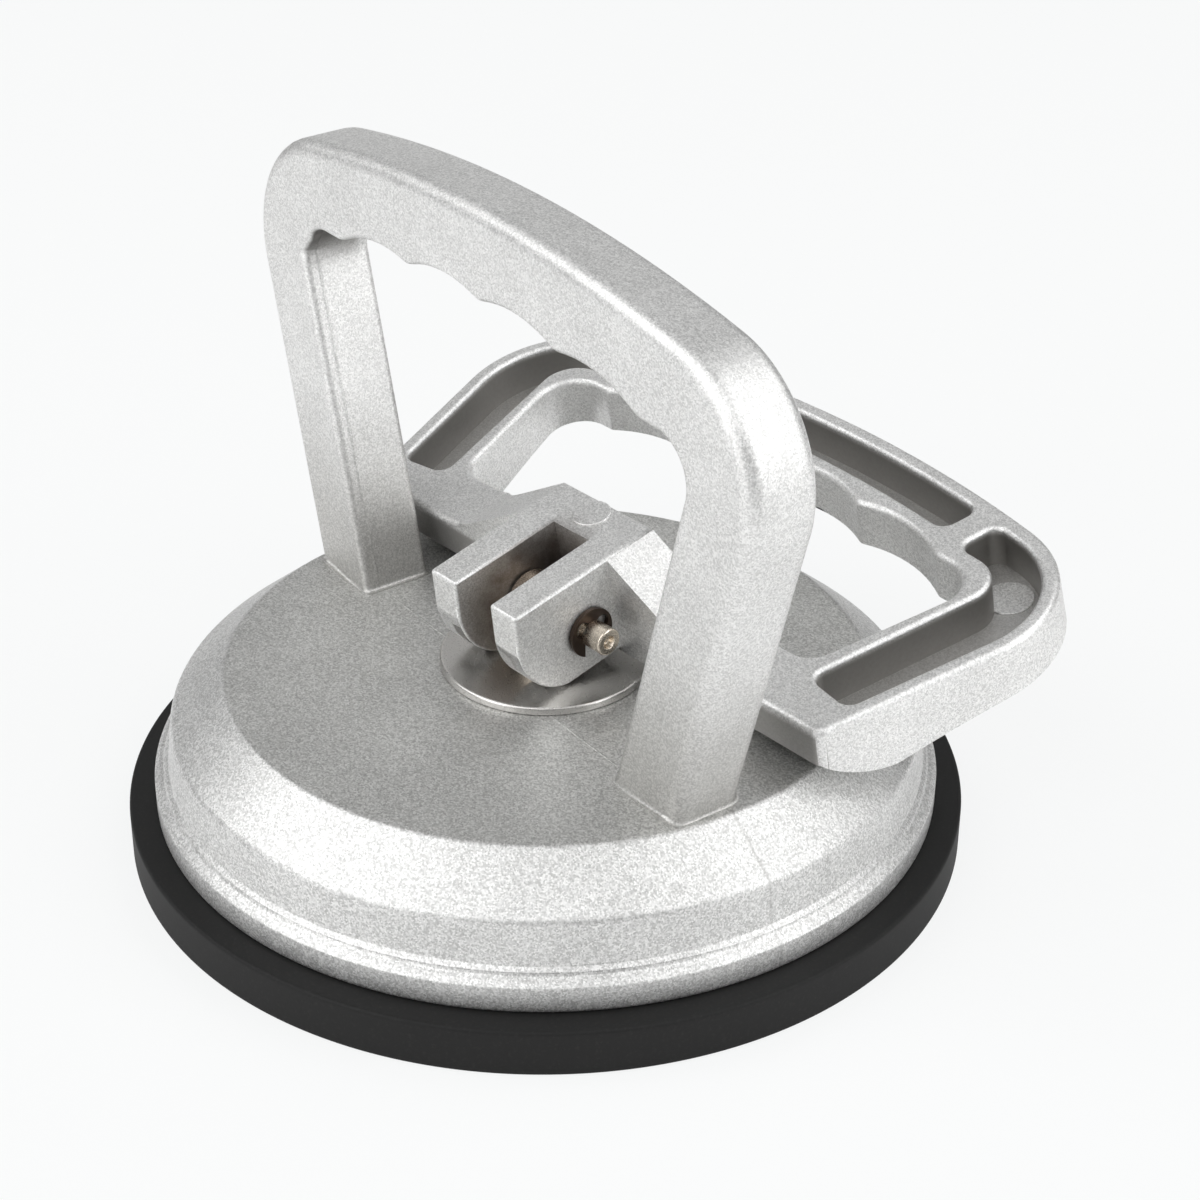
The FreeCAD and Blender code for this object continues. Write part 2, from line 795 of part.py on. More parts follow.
# The underside: a rounded nose at the bar, then a shallow bow out to the grip.
far_end = size.loop_reach + size.pocket_rim
belly_profile = sketch_on(lever, "belly_side", "YZ_Plane")
outline(
    belly_profile,
    [
        (size.bar_front - size.pocket_rim, belly_z),
        (size.bar_front, belly_z),
        (size.arm_belly_reach, size.lever_top - size.arm_belly),
        (far_end, size.lever_top - size.grip_thickness),
        (far_end, size.lever_top - size.arm_belly * 1.5),
        (size.bar_front - size.pocket_rim, size.lever_top - size.arm_belly * 1.5),
    ],
    {1: -size.nose_bulge, 2: size.belly_bow},
)
pocket(lever, belly_profile, size.loop_corner * 2.2, both_ways=True)

# Relief under the bar and hub, over the washer.
relief = sketch_on(lever, "bar_relief", "XY_Plane", belly_z)
relief_rear = size.bar_rear + size.pocket_rim
relief_front = size.bar_front - size.pocket_rim
outline(
    relief,
    [
        (size.belly_half_gap, relief_front),
        (size.belly_half_gap, relief_rear),
        (-size.belly_half_gap, relief_rear),
        (-size.belly_half_gap, relief_front),
    ],
)
pocket(lever, relief, size.arm_belly)

round_edges(lever, "loop_edges", size.loop_edge_round, lambda edge: lies_at(edge, "z", size.lever_top.value))

# Pockets in the grip and in both arms, open at the top.
grip_pocket = sketch_on(lever, "grip_pocket", "XY_Plane", size.lever_top)
pocket_reach = size.loop_reach - size.pocket_rim
pocket_inside = loop_opening_reach + size.lever_finger_depth + size.pocket_wall
grip_pocket_corners = [
    (size.grip_pocket_half - size.pocket_taper, pocket_inside - size.grip_pocket_inner_bow),
    (size.grip_pocket_half, pocket_reach - size.grip_pocket_outer_bow),
]
outline(
    grip_pocket,
    mirrored(grip_pocket_corners),
    {1: -size.grip_pocket_outer_bow, 3: size.grip_pocket_inner_bow},
)
pocket(lever, grip_pocket, size.pocket_depth)
round_corners("grip_pocket_corners", size.pocket_end_round, grip_pocket_corners)

pocket_heel_outer = size.bar_half - size.pocket_rim + loop_flare * size.pocket_heel
pocket_heel_inner = loop_opening_half + size.pocket_wall
rib_side = size.grip_pocket_half + size.pocket_rib
arm_pocket_ends = [
    (pocket_heel_inner, size.bar_front + size.pocket_heel + size.pocket_taper),
    (pocket_heel_outer, size.bar_front + size.pocket_heel),
    (rib_side, pocket_reach - size.grip_pocket_outer_bow - size.pocket_taper),
    (rib_side - size.pocket_taper, loop_opening_corner_reach + size.pocket_wall * 1.4),
]
arm_pocket_shoulder = [
    (
        size.loop_corner - size.pocket_rim - loop_flare * size.pocket_shoulder_start,
        loop_corner_reach - size.pocket_shoulder_start,
    ),
    (rib_side + size.pocket_shoulder_end, arm_pocket_ends[2][1] - size.pocket_taper / 2),
]
arm_pocket_inner = (
    loop_opening_corner + size.pocket_wall,
    loop_opening_corner_reach + size.pocket_wall,
)
arm_pocket_corners = arm_pocket_ends[:2] + arm_pocket_shoulder + arm_pocket_ends[2:] + [arm_pocket_inner]
for side, sign in (("right", 1), ("left", -1)):
    arm_pocket = sketch_on(lever, f"{side}_arm_pocket", "XY_Plane", size.lever_top)
    outline(
        arm_pocket,
        [(spot_x * sign, spot_y) for spot_x, spot_y in arm_pocket_corners],
        {2: -size.pocket_shoulder_rise * sign},
    )
    pocket(lever, arm_pocket, size.pocket_depth)
round_corners("arm_pocket_ends", size.pocket_end_round, arm_pocket_ends)
round_corners("arm_pocket_elbows", size.loop_opening_round, [arm_pocket_inner])

# Hub flanks: a ridge across the bar that carries the ears' load into both arms.
flanks = sketch_on(lever, "hub_flanks", "XZ_Plane", -size.bar_front)
outline(
    flanks,
    mirrored([(size.flank_half, belly_z), (size.flank_half, size.lever_top), (size.ear_half, size.ear_top)]),
)
pad(lever, flanks, size.hub_rear - size.bar_front, backwards=True)
doc.recompute()

# Ears: one block whose nose is the cam. The cam is the involute that a flat face follows, so the stud
# rises evenly with the lever's angle.
cam_low = math.radians(size.lever_rest_tilt.value)
cam_high = math.radians(size.lever_rest_tilt.value + size.lever_swing.value)


def cam_point(angle):
    """Point of the cam that touches the washer when the lever stands at this tilt, in radians."""
    reach = cam_start.value + cam_rate.value * (angle - cam_low)
    down = Vector(0, -math.sin(angle), -math.cos(angle))
    forward = Vector(0, -math.cos(angle), math.sin(angle))
    return down * reach + forward * cam_rate.value


CAM_SPANS = 16
cam_points = [cam_point(cam_low + (cam_high - cam_low) * step / CAM_SPANS) for step in range(CAM_SPANS + 1)]
cam_curve = Part.BSplineCurve()
cam_curve.interpolate(cam_points)
ear_corners = [
    cam_points[-1],
    Vector(0, -size.ear_nose.value, size.ear_top.value),
    Vector(0, size.hub_rear.value, size.ear_top.value),
    Vector(0, size.hub_rear.value, belly_z.value),
    Vector(0, size.bar_front.value, belly_z.value),
    Vector(0, size.bar_front.value, cam_points[0].z),
    cam_points[0],
]
ear_edges = [Part.makeLine(start, end) for start, end in zip(ear_corners, ear_corners[1:])]
ear_wire = Part.Wire([cam_curve.toShape()] + ear_edges)
ear_side = Part.Face(ear_wire)
ear_side.translate(Vector(-size.ear_half.value, 0, 0))
ears = doc.addObject("Part::Feature", "ears")
ears.Shape = ear_side.extrude(Vector(size.ear_half.value * 2, 0, 0))

lever_solid = doc.addObject("Part::MultiFuse", "lever_solid")
lever_solid.Shapes = [lever, ears]
lever_solid.Refine = True
ear_slot = doc.addObject("Part::Box", "ear_slot")
slot_reach = size.ear_nose * 2
bind(ear_slot, "Length", size.slot_half * 2)
bind(ear_slot, "Width", slot_reach + size.slot_back)
bind(ear_slot, "Height", slot_reach * 2)
bind(ear_slot, "Placement.Base.x", -size.slot_half)
bind(ear_slot, "Placement.Base.y", -slot_reach)
bind(ear_slot, "Placement.Base.z", -slot_reach)
ear_bore = doc.addObject("Part::Cylinder", "ear_bore")
bind(ear_bore, "Radius", pin_bore)
bind(ear_bore, "Height", size.ear_half * 4)
ear_bore.Placement.Rotation = Rotation(Vector(0, 1, 0), 90)
bind(ear_bore, "Placement.Base.x", -size.ear_half * 2)
lever_cuts = doc.addObject("Part::MultiFuse", "lever_cuts")
lever_cuts.Shapes = [ear_slot, ear_bore]
lever_casting = doc.addObject("Part::Cut", "lever_casting")
lever_casting.Base = lever_solid
lever_casting.Tool = lever_cuts
lever_casting.Placement = Placement(
    Vector(0, 0, size.pivot_height.value),
    Rotation(size.lever_rest_turn.value, 0, size.lever_rest_tilt.value),
)

# Hinge pin, grooved for the clips, with a hollow in each end.
turned = Placement(Vector(0, 0, size.pivot_height.value), Rotation(size.lever_rest_turn.value, 0, 0))
along_x = Rotation(Vector(0, 1, 0), 90)
pin_half = size.ear_half + size.pin_overhang
groove_start = size.ear_half + size.clip_side_gap
groove_radius = size.pin_radius - size.clip_groove_depth
groove_room = size.clip_side_gap / 3


def bar_along_x(name, radius, start, length):
    """Cylinder along X from a start, both ends given by measures."""
    cylinder = doc.addObject("Part::Cylinder", name)
    bind(cylinder, "Radius", radius)
    bind(cylinder, "Height", length)
    cylinder.Placement.Rotation = along_x
    bind(cylinder, "Placement.Base.x", start)
    return cylinder


def cone_along_x(name, radius_start, radius_end, start, length):
    """Cone along X from a start, both ends given by measures."""
    cone = doc.addObject("Part::Cone", name)
    bind(cone, "Radius1", radius_start)
    bind(cone, "Radius2", radius_end)
    bind(cone, "Height", length)
    cone.Placement.Rotation = along_x
    bind(cone, "Placement.Base.x", start)
    return cone


pin_tip = size.pin_radius - size.pin_chamfer
groove_length = size.clip_thickness + groove_room * 2
shoulder_start = groove_start + size.clip_thickness + groove_room
shoulder_length = pin_half - size.pin_chamfer - shoulder_start
pin_pieces = [
    bar_along_x("pin_middle", size.pin_radius, -(groove_start - groove_room), (groove_start - groove_room) * 2),
    bar_along_x("pin_core", groove_radius, -(pin_half - size.pin_chamfer), (pin_half - size.pin_chamfer) * 2),
    bar_along_x("pin_shoulder_right", size.pin_radius, shoulder_start, shoulder_length),
    bar_along_x(
        "pin_shoulder_left", size.pin_radius, -(pin_half - size.pin_chamfer), shoulder_length
    ),
    cone_along_x(
        "pin_tip_right", size.pin_radius, pin_tip, pin_half - size.pin_chamfer, size.pin_chamfer
    ),
    cone_along_x("pin_tip_left", pin_tip, size.pin_radius, -pin_half, size.pin_chamfer),
]
pin_solid = doc.addObject("Part::MultiFuse", "pin_solid")
pin_solid.Shapes = pin_pieces
dimple_floor = size.pin_dimple_radius * 0.6
pin_dimples = doc.addObject("Part::MultiFuse", "pin_dimples")
pin_dimples.Shapes = [
    cone_along_x(
        "dimple_right",
        dimple_floor,
        size.pin_dimple_radius,
        pin_half - size.pin_dimple_depth,
        size.pin_dimple_depth,
    ),
    cone_along_x("dimple_left", size.pin_dimple_radius, dimple_floor, -pin_half, size.pin_dimple_depth),
]
hinge_pin = doc.addObject("Part::Cut", "hinge_pin")
hinge_pin.Base = pin_solid
hinge_pin.Tool = pin_dimples
hinge_pin.Placement = turned

# Retaining clips: spring-steel E shapes seated in the pin's grooves outside the ears.
clip_bore = groove_radius + size.thread_clearance
clip_notch = size.clip_radius / 3.2


def retaining_clip(side, start):
    """E clip whose inner face stands at a start along X."""
    disc = bar_along_x(f"clip_disc_{side}", size.clip_radius, start, size.clip_thickness)
    bore = bar_along_x(f"clip_bore_{side}", clip_bore, start, size.clip_thickness)
    mouth = doc.addObject("Part::Box", f"clip_mouth_{side}")
    bind(mouth, "Length", size.clip_thickness)
    bind(mouth, "Width", size.clip_mouth)
    bind(mouth, "Height", size.clip_radius * 1.2)
    bind(mouth, "Placement.Base.x", start)
    bind(mouth, "Placement.Base.y", -size.clip_mouth / 2)
    bind(mouth, "Placement.Base.z", -size.clip_radius * 1.2)
    openings = [bore, mouth]
    for number, angle in enumerate((30, 150), start=1):
        notch = bar_along_x(f"clip_notch_{side}_{number}", clip_notch, start, size.clip_thickness)
        reach = clip_bore + clip_notch * 0.4
        bind(notch, "Placement.Base.y", reach * math.cos(math.radians(angle)))
        bind(notch, "Placement.Base.z", reach * math.sin(math.radians(angle)))
        openings.append(notch)
    cuts = doc.addObject("Part::MultiFuse", f"clip_openings_{side}")
    cuts.Shapes = openings
    clip = doc.addObject("Part::Cut", f"retaining_clip_{side}")
    clip.Base = disc
    clip.Tool = cuts
    clip.Placement = turned
    return clip


clip_right = retaining_clip("right", groove_start)
clip_left = retaining_clip("left", -(groove_start + size.clip_thickness))
doc.recompute()

NODES = {
    "rubber_pad": rubber,
    "backing_plate": plate,
    "lock_nut": lock_nut,
    "pull_stud": pull_stud,
    "return_spring": return_spring,
    "body_casting": casting,
    "cam_washer": washer,
    "lever_casting": lever_casting,
    "hinge_pin": hinge_pin,
    "retaining_clip_right": clip_right,
    "retaining_clip_left": clip_left,
}

for item in doc.Objects:
    if {"Invalid", "Error"} & set(item.State):
        raise RuntimeError(f"{item.Name} failed: {item.State}")

os.makedirs("parts", exist_ok=True)
for node, item in NODES.items():
    item.Label = node
    shape = item.Shape
    if shape.isNull() or not shape.isValid() or len(shape.Solids) != 1:
        raise RuntimeError(f"{node} is not one valid solid")
    shape.exportStep(f"parts/{node}.step")
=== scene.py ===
import logging
import math
from dataclasses import dataclass
from enum import Enum

import bmesh
import bpy
import numpy as np
from mathutils import Matrix, Vector


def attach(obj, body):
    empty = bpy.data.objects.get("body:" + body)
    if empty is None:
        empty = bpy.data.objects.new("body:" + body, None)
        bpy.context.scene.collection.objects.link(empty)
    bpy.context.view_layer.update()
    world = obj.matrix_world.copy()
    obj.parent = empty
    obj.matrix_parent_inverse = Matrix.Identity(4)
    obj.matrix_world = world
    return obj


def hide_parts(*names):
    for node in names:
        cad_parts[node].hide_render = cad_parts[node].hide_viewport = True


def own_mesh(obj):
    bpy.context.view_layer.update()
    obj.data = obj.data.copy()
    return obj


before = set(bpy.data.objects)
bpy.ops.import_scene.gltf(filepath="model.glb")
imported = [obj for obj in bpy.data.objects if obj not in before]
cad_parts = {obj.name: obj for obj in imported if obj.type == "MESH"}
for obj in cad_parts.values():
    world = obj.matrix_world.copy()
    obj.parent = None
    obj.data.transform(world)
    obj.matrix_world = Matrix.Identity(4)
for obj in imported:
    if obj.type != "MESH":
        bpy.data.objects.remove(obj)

LOG = logging.getLogger("suction_lifter")
MM = 0.001
PHOTO_WIDTH_PX = 1200.0
SENSOR_MM = 36.0
# Face mark for the lever's darker tone: the pockets as cast with painted shade, and painted shadow on the
# bar's front.
SKIN_AND_SHADE_MARK = "pocket"
# Nearly all values of a noise texture lie between these two.
NOISE_LOW, NOISE_HIGH = 0.3, 0.7
# The mix node has two inputs and an output for each kind of value; these are the ones for colours.
MIX_FIRST, MIX_SECOND, MIX_RESULT = 6, 7, 2
MIX = {"data_type": "RGBA"}
TINT = {"data_type": "RGBA", "blend_type": "MULTIPLY"}
SMOOTH_STEP = {"interpolation_type": "SMOOTHSTEP"}
TIMES = {"operation": "MULTIPLY"}
TIMES_PLUS = {"operation": "MULTIPLY_ADD"}
MINUS = {"operation": "SUBTRACT"}
ABSOLUTE = {"operation": "ABSOLUTE"}


class Body(Enum):
    """The rigid bodies of the frame that a piece can ride on."""

    BASE = "base"
    WASHER = "washer"
    STUD = "stud"
    LEVER = "lever"


class Slot(Enum):
    """The record's material slots."""

    RUBBER = "black_rubber"
    ZINC = "zinc_plated_steel"
    TURNED = "turned_steel"
    SPRING = "spring_steel"
    CASTING = "cast_aluminium"
    POLISHED = "polished_steel"
    LEVER = "cast_aluminium_lever"
    BLACKENED = "blackened_steel"


@dataclass(frozen=True)
class LeverFrame:
    """Where the hinge pin lies, and how the lever stands at rest."""

    pivot_mm: float = 34.6
    turn_degrees: float = 5.0
    tilt_degrees: float = 12.15

    def turned(self) -> Matrix:
        """Return the frame about the pin, turned about the vertical only."""
        turn = Matrix.Rotation(math.radians(self.turn_degrees), 4, "Z")
        return Matrix.Translation((0, 0, self.pivot_mm * MM)) @ turn

    def tilted(self) -> Matrix:
        """Return the lever's own frame: x along the pin, y along the arms, z up through the hub."""
        return self.turned() @ Matrix.Rotation(math.radians(self.tilt_degrees), 4, "X")

    def seen(self, points: np.ndarray) -> np.ndarray:
        """Return points that are given in metres as millimetres in the lever's own frame."""
        back = np.array(self.tilted().inverted())
        return (points @ back[:3, :3].T + back[:3, 3]) / MM


def linear_colour(hex_code: str) -> tuple[float, float, float, float]:
    """Turn an sRGB hex colour into a linear one.

    Args:
        hex_code: Six hex digits with a leading hash.

    Returns:
        Red, green, blue and alpha, linear.
    """
    channels = [int(hex_code[start : start + 2], 16) / 255 for start in (1, 3, 5)]
    linear = [((c + 0.055) / 1.055) ** 2.4 if c > 0.04045 else c / 12.92 for c in channels]
    return (linear[0], linear[1], linear[2], 1.0)


def add_node(
    tree: bpy.types.NodeTree,
    kind: str,
    settings: dict[str, object] | None = None,
    inputs: dict[str | int, object] | tuple[object, ...] = (),
    output: str | int = 0,
) -> bpy.types.NodeSocket | None:
    """Add a node, set its own properties, then set or link its inputs.

    Args:
        tree: The node tree that gets the node.
        kind: Blender's type name of the node.
        settings: Properties of the node itself.
        inputs: What each socket gets, by its name or number, or for all in order: a plain value, an
            sRGB hex colour or another node's output socket.
        output: Name or number of the output socket that is wanted.

    Returns:
        That output socket, or None where the node has no output.
    """
    node = tree.nodes.new(kind)
    for name, value in (settings or {}).items():
        setattr(node, name, value)
    for name, value in inputs.items() if isinstance(inputs, dict) else enumerate(inputs):
        if isinstance(value, bpy.types.NodeSocket):
            tree.links.new(value, node.inputs[name])
        else:
            node.inputs[name].default_value = linear_colour(value) if isinstance(value, str) else value
    return node.outputs[output] if node.outputs else None


@dataclass(frozen=True)
class Finish:
    """What every surface finish shares: a name and a node tree around one shader."""

    name: str

    def start(self) -> tuple[bpy.types.Material, bpy.types.NodeTree, bpy.types.NodeSocket]:
        """Make the empty material.

        Returns:
            The material, its node tree and the Object coordinate socket.
        """
        material = bpy.data.materials.new(self.name)
        material.use_nodes = True
        tree = material.node_tree
        tree.nodes.clear()
        return material, tree, add_node(tree, "ShaderNodeTexCoord", output="Object")

    def close(self, tree: bpy.types.NodeTree, inputs: dict[str | int, object]) -> None:
        """Add the shader with its inputs, and the material's output."""
        shader = add_node(tree, "ShaderNodeBsdfPrincipled", inputs=inputs)
        add_node(tree, "ShaderNodeOutputMaterial", inputs={"Surface": shader})


@dataclass(frozen=True)
class CastAluminium(Finish):
    """Die-cast aluminium, blasted with fine beads: a satin grey with bright and dark grains.

    Three patterns add up to the tone between shadow and light: the beads' dents as cells of one tone
    each, blotches, and wide clouds. The dents are drawn a little coarser than real ones, so that they
    show.
    """

    shadow_hex: str = "#B4B4B3"
    light_hex: str = "#F9F9F8"
    grain_mm: float = 0.2
    grain_share: float = 0.6
    blotch_mm: float = 0.6
    blotch_share: float = 0.3
    cloud_mm: float = 9.0
    cloud_share: float = 0.2
    roughness: float = 0.5
    glossier: float = 0.05
    duller: float = 0.07
    relief_mm: float = 0.02
    relief_strength: float = 0.5

    def tone(
        self, tree: bpy.types.NodeTree, place: bpy.types.NodeSocket, colour: bpy.types.NodeSocket
    ) -> bpy.types.NodeSocket:
        """Let a finish of this family tint the plain metal; the plain one leaves it as it is."""
        return colour

    def build(self) -> bpy.types.Material:
        """Make the material.

        Returns:
            The finished material.
        """
        material, tree, place = self.start()
        scale = 1 / (self.grain_mm * MM)
        cells = add_node(tree, "ShaderNodeTexVoronoi", None, {"Vector": place, "Scale": scale}, "Color")
        grains = add_node(tree, "ShaderNodeSeparateColor", None, {"Color": cells})
        blotches, clouds = (
            add_node(
                tree,
                "ShaderNodeTexNoise",
                None,
                {"Vector": place, "Scale": 1 / (size * MM), "Detail": detail},
            )
            for size, detail in ((self.blotch_mm, 3.0), (self.cloud_mm, 1.0))
        )
        tone = 0.0
        for pattern, share in (
            (grains, self.grain_share),
            (clouds, self.cloud_share),
            (blotches, self.blotch_share),
        ):
            tone = add_node(tree, "ShaderNodeMath", TIMES_PLUS, (pattern, share, tone))
        ends = {0: tone, MIX_FIRST: self.shadow_hex, MIX_SECOND: self.light_hex}
        metal = add_node(tree, "ShaderNodeMix", MIX, ends, MIX_RESULT)
        gloss = add_node(
            tree,
            "ShaderNodeMapRange",
            inputs={
                "Value": blotches,
                "From Min": NOISE_LOW,
                "From Max": NOISE_HIGH,
                "To Min": self.roughness - self.glossier,
                "To Max": self.roughness + self.duller,
            },
        )
        dents = {"Strength": self.relief_strength, "Distance": self.relief_mm * MM, "Height": tone}
        shader = {
            "Base Color": self.tone(tree, place, metal),
            "Metallic": 1.0,
            "Roughness": gloss,
            "Normal": add_node(tree, "ShaderNodeBump", None, dents),
        }
        self.close(tree, shader)
        return material


@dataclass(frozen=True)
class DomeAluminium(CastAluminium):
    """The dome's metal: coarser grains, painted shade that darkens the flat top, the die's parting line at
    the right.
    """

    name: str = "blasted_die_cast_aluminium_dome"
    shadow_hex: str = "#999998"
    light_hex: str = "#F8F8F7"
    grain_mm: float = 0.22
    top_mm: float = 25.8
    # Painted shade: the flat top is tinted darker.
    top_shade_from_mm: float = 0.12
    top_shade_full_mm: float = 0.02
    top_shade_hex: str = "#EFEFEE"
    line_y_mm: float = -2.6
    line_width_mm: float = 0.3
    line_core: float = 0.3
    line_wander_mm: float = 0.7
    wander_grain_mm: float = 0.7
    line_start_mm: float = 40.0
    line_full_mm: float = 46.0
    line_share: float = 0.3
    line_hex: str = "#8C8B89"

    def tone(
        self, tree: bpy.types.NodeTree, place: bpy.types.NodeSocket, colour: bpy.types.NodeSocket
    ) -> bpy.types.NodeSocket:
        """Paint shade on the flat top, and draw the parting line down the slope and the band at the right.

        Args:
            tree: The material's node tree.
            place: The Object coordinate socket.
            colour: The plain metal's colour.

        Returns:
            The tinted colour's socket.
        """
        across, along, height = add_node(tree, "ShaderNodeSeparateXYZ", None, (place,)).node.outputs
        noise = {"Vector": place, "Scale": 1 / (self.wander_grain_mm * MM), "Detail": 2.0}
        wander = add_node(tree, "ShaderNodeTexNoise", None, noise)
        bent = add_node(tree, "ShaderNodeMath", TIMES_PLUS, (wander, self.line_wander_mm * MM, along))
        middle = (self.line_y_mm + self.line_wander_mm / 2) * MM
        offset = add_node(tree, "ShaderNodeMath", MINUS, (bent, middle))
        off = add_node(tree, "ShaderNodeMath", ABSOLUTE, (offset,))
        width = self.line_width_mm * MM
        near = {"Value": off, "From Min": width, "From Max": width * self.line_core}
        line = add_node(tree, "ShaderNodeMapRange", SMOOTH_STEP, near)
        right = {"Value": across, "From Min": self.line_start_mm * MM, "From Max": self.line_full_mm * MM}
        on_right = add_node(tree, "ShaderNodeMapRange", SMOOTH_STEP, right)
        full = add_node(tree, "ShaderNodeMath", TIMES, (line, on_right))
        faint = add_node(tree, "ShaderNodeMath", TIMES, (full, self.line_share))
        ends = {0: faint, MIX_FIRST: colour, MIX_SECOND: self.line_hex}
        lined = add_node(tree, "ShaderNodeMix", MIX, ends, MIX_RESULT)
        # Painted shade on the flat top.
        top = {
            "Value": height,
            "From Min": (self.top_mm - self.top_shade_from_mm) * MM,
            "From Max": (self.top_mm - self.top_shade_full_mm) * MM,
        }
        is_top = add_node(tree, "ShaderNodeMapRange", SMOOTH_STEP, top)
        top_shaded = {0: is_top, MIX_FIRST: lined, MIX_SECOND: self.top_shade_hex}
        return add_node(tree, "ShaderNodeMix", TINT, top_shaded, MIX_RESULT)


@dataclass(frozen=True)
class HandleAluminium(CastAluminium):
    """The handle's metal, with painted shade round the opening's upper left corner and towards the feet."""

    name: str = "blasted_die_cast_aluminium_handle"
    # Painted shade round the opening's upper left corner, between the front face and the back.
    corner_mm: tuple[float, float] = (-41.5, 80.0)
    reach_mm: float = 8.5
    reach_core: float = 0.2
    face_mm: float = -10.5
    face_fade_mm: float = 0.5
    shade_back_mm: float = -1.0
    shade_back_fade_mm: float = 2.0
    corner_shade_hex: str = "#7A7876"
    # Painted shade towards the feet, where the dark crown is reflected.
    foot_mm: float = 27.0
    foot_reach_mm: float = 31.0
    foot_shade_hex: str = "#DCDBD9"

    def tone(
        self, tree: bpy.types.NodeTree, place: bpy.types.NodeSocket, colour: bpy.types.NodeSocket
    ) -> bpy.types.NodeSocket:
        """Paint shade on the metal round the corner, between both faces, and softly towards the feet.

        Args:
            tree: The material's node tree.
            place: The Object coordinate socket.
            colour: The plain metal's colour.

        Returns:
            The tinted colour's socket.
        """
        across, along, height = add_node(tree, "ShaderNodeSeparateXYZ", None, (place,)).node.outputs
        beside = add_node(tree, "ShaderNodeMath", MINUS, (across, self.corner_mm[0] * MM))
        above = add_node(tree, "ShaderNodeMath", MINUS, (height, self.corner_mm[1] * MM))
        above_squared = add_node(tree, "ShaderNodeMath", TIMES, (above, above))
        squares = add_node(tree, "ShaderNodeMath", TIMES_PLUS, (beside, beside, above_squared))
        distance = add_node(tree, "ShaderNodeMath", {"operation": "SQRT"}, (squares,))
        reach, face, shade_back = self.reach_mm * MM, self.face_mm * MM, self.shade_back_mm * MM
        near, behind, before_back, low = (
            add_node(
                tree, "ShaderNodeMapRange", SMOOTH_STEP, {"Value": value, "From Min": start, "From Max": end}
            )
            for value, start, end in (
                (distance, reach, reach * self.reach_core),
                (along, face, face + self.face_fade_mm * MM),
                (along, shade_back, shade_back - self.shade_back_fade_mm * MM),
                (height, (self.foot_mm + self.foot_reach_mm) * MM, self.foot_mm * MM),
            )
        )
        # Painted shade in the corner.
        inside = add_node(tree, "ShaderNodeMath", TIMES, (behind, before_back))
        corner_shade = add_node(tree, "ShaderNodeMath", TIMES, (near, inside))
        ends = {0: corner_shade, MIX_FIRST: colour, MIX_SECOND: self.corner_shade_hex}
        corner_shaded = add_node(tree, "ShaderNodeMix", MIX, ends, MIX_RESULT)
        # Painted shade towards the feet.
        foot_shaded = {0: low, MIX_FIRST: corner_shaded, MIX_SECOND: self.foot_shade_hex}
        return add_node(tree, "ShaderNodeMix", TINT, foot_shaded, MIX_RESULT)


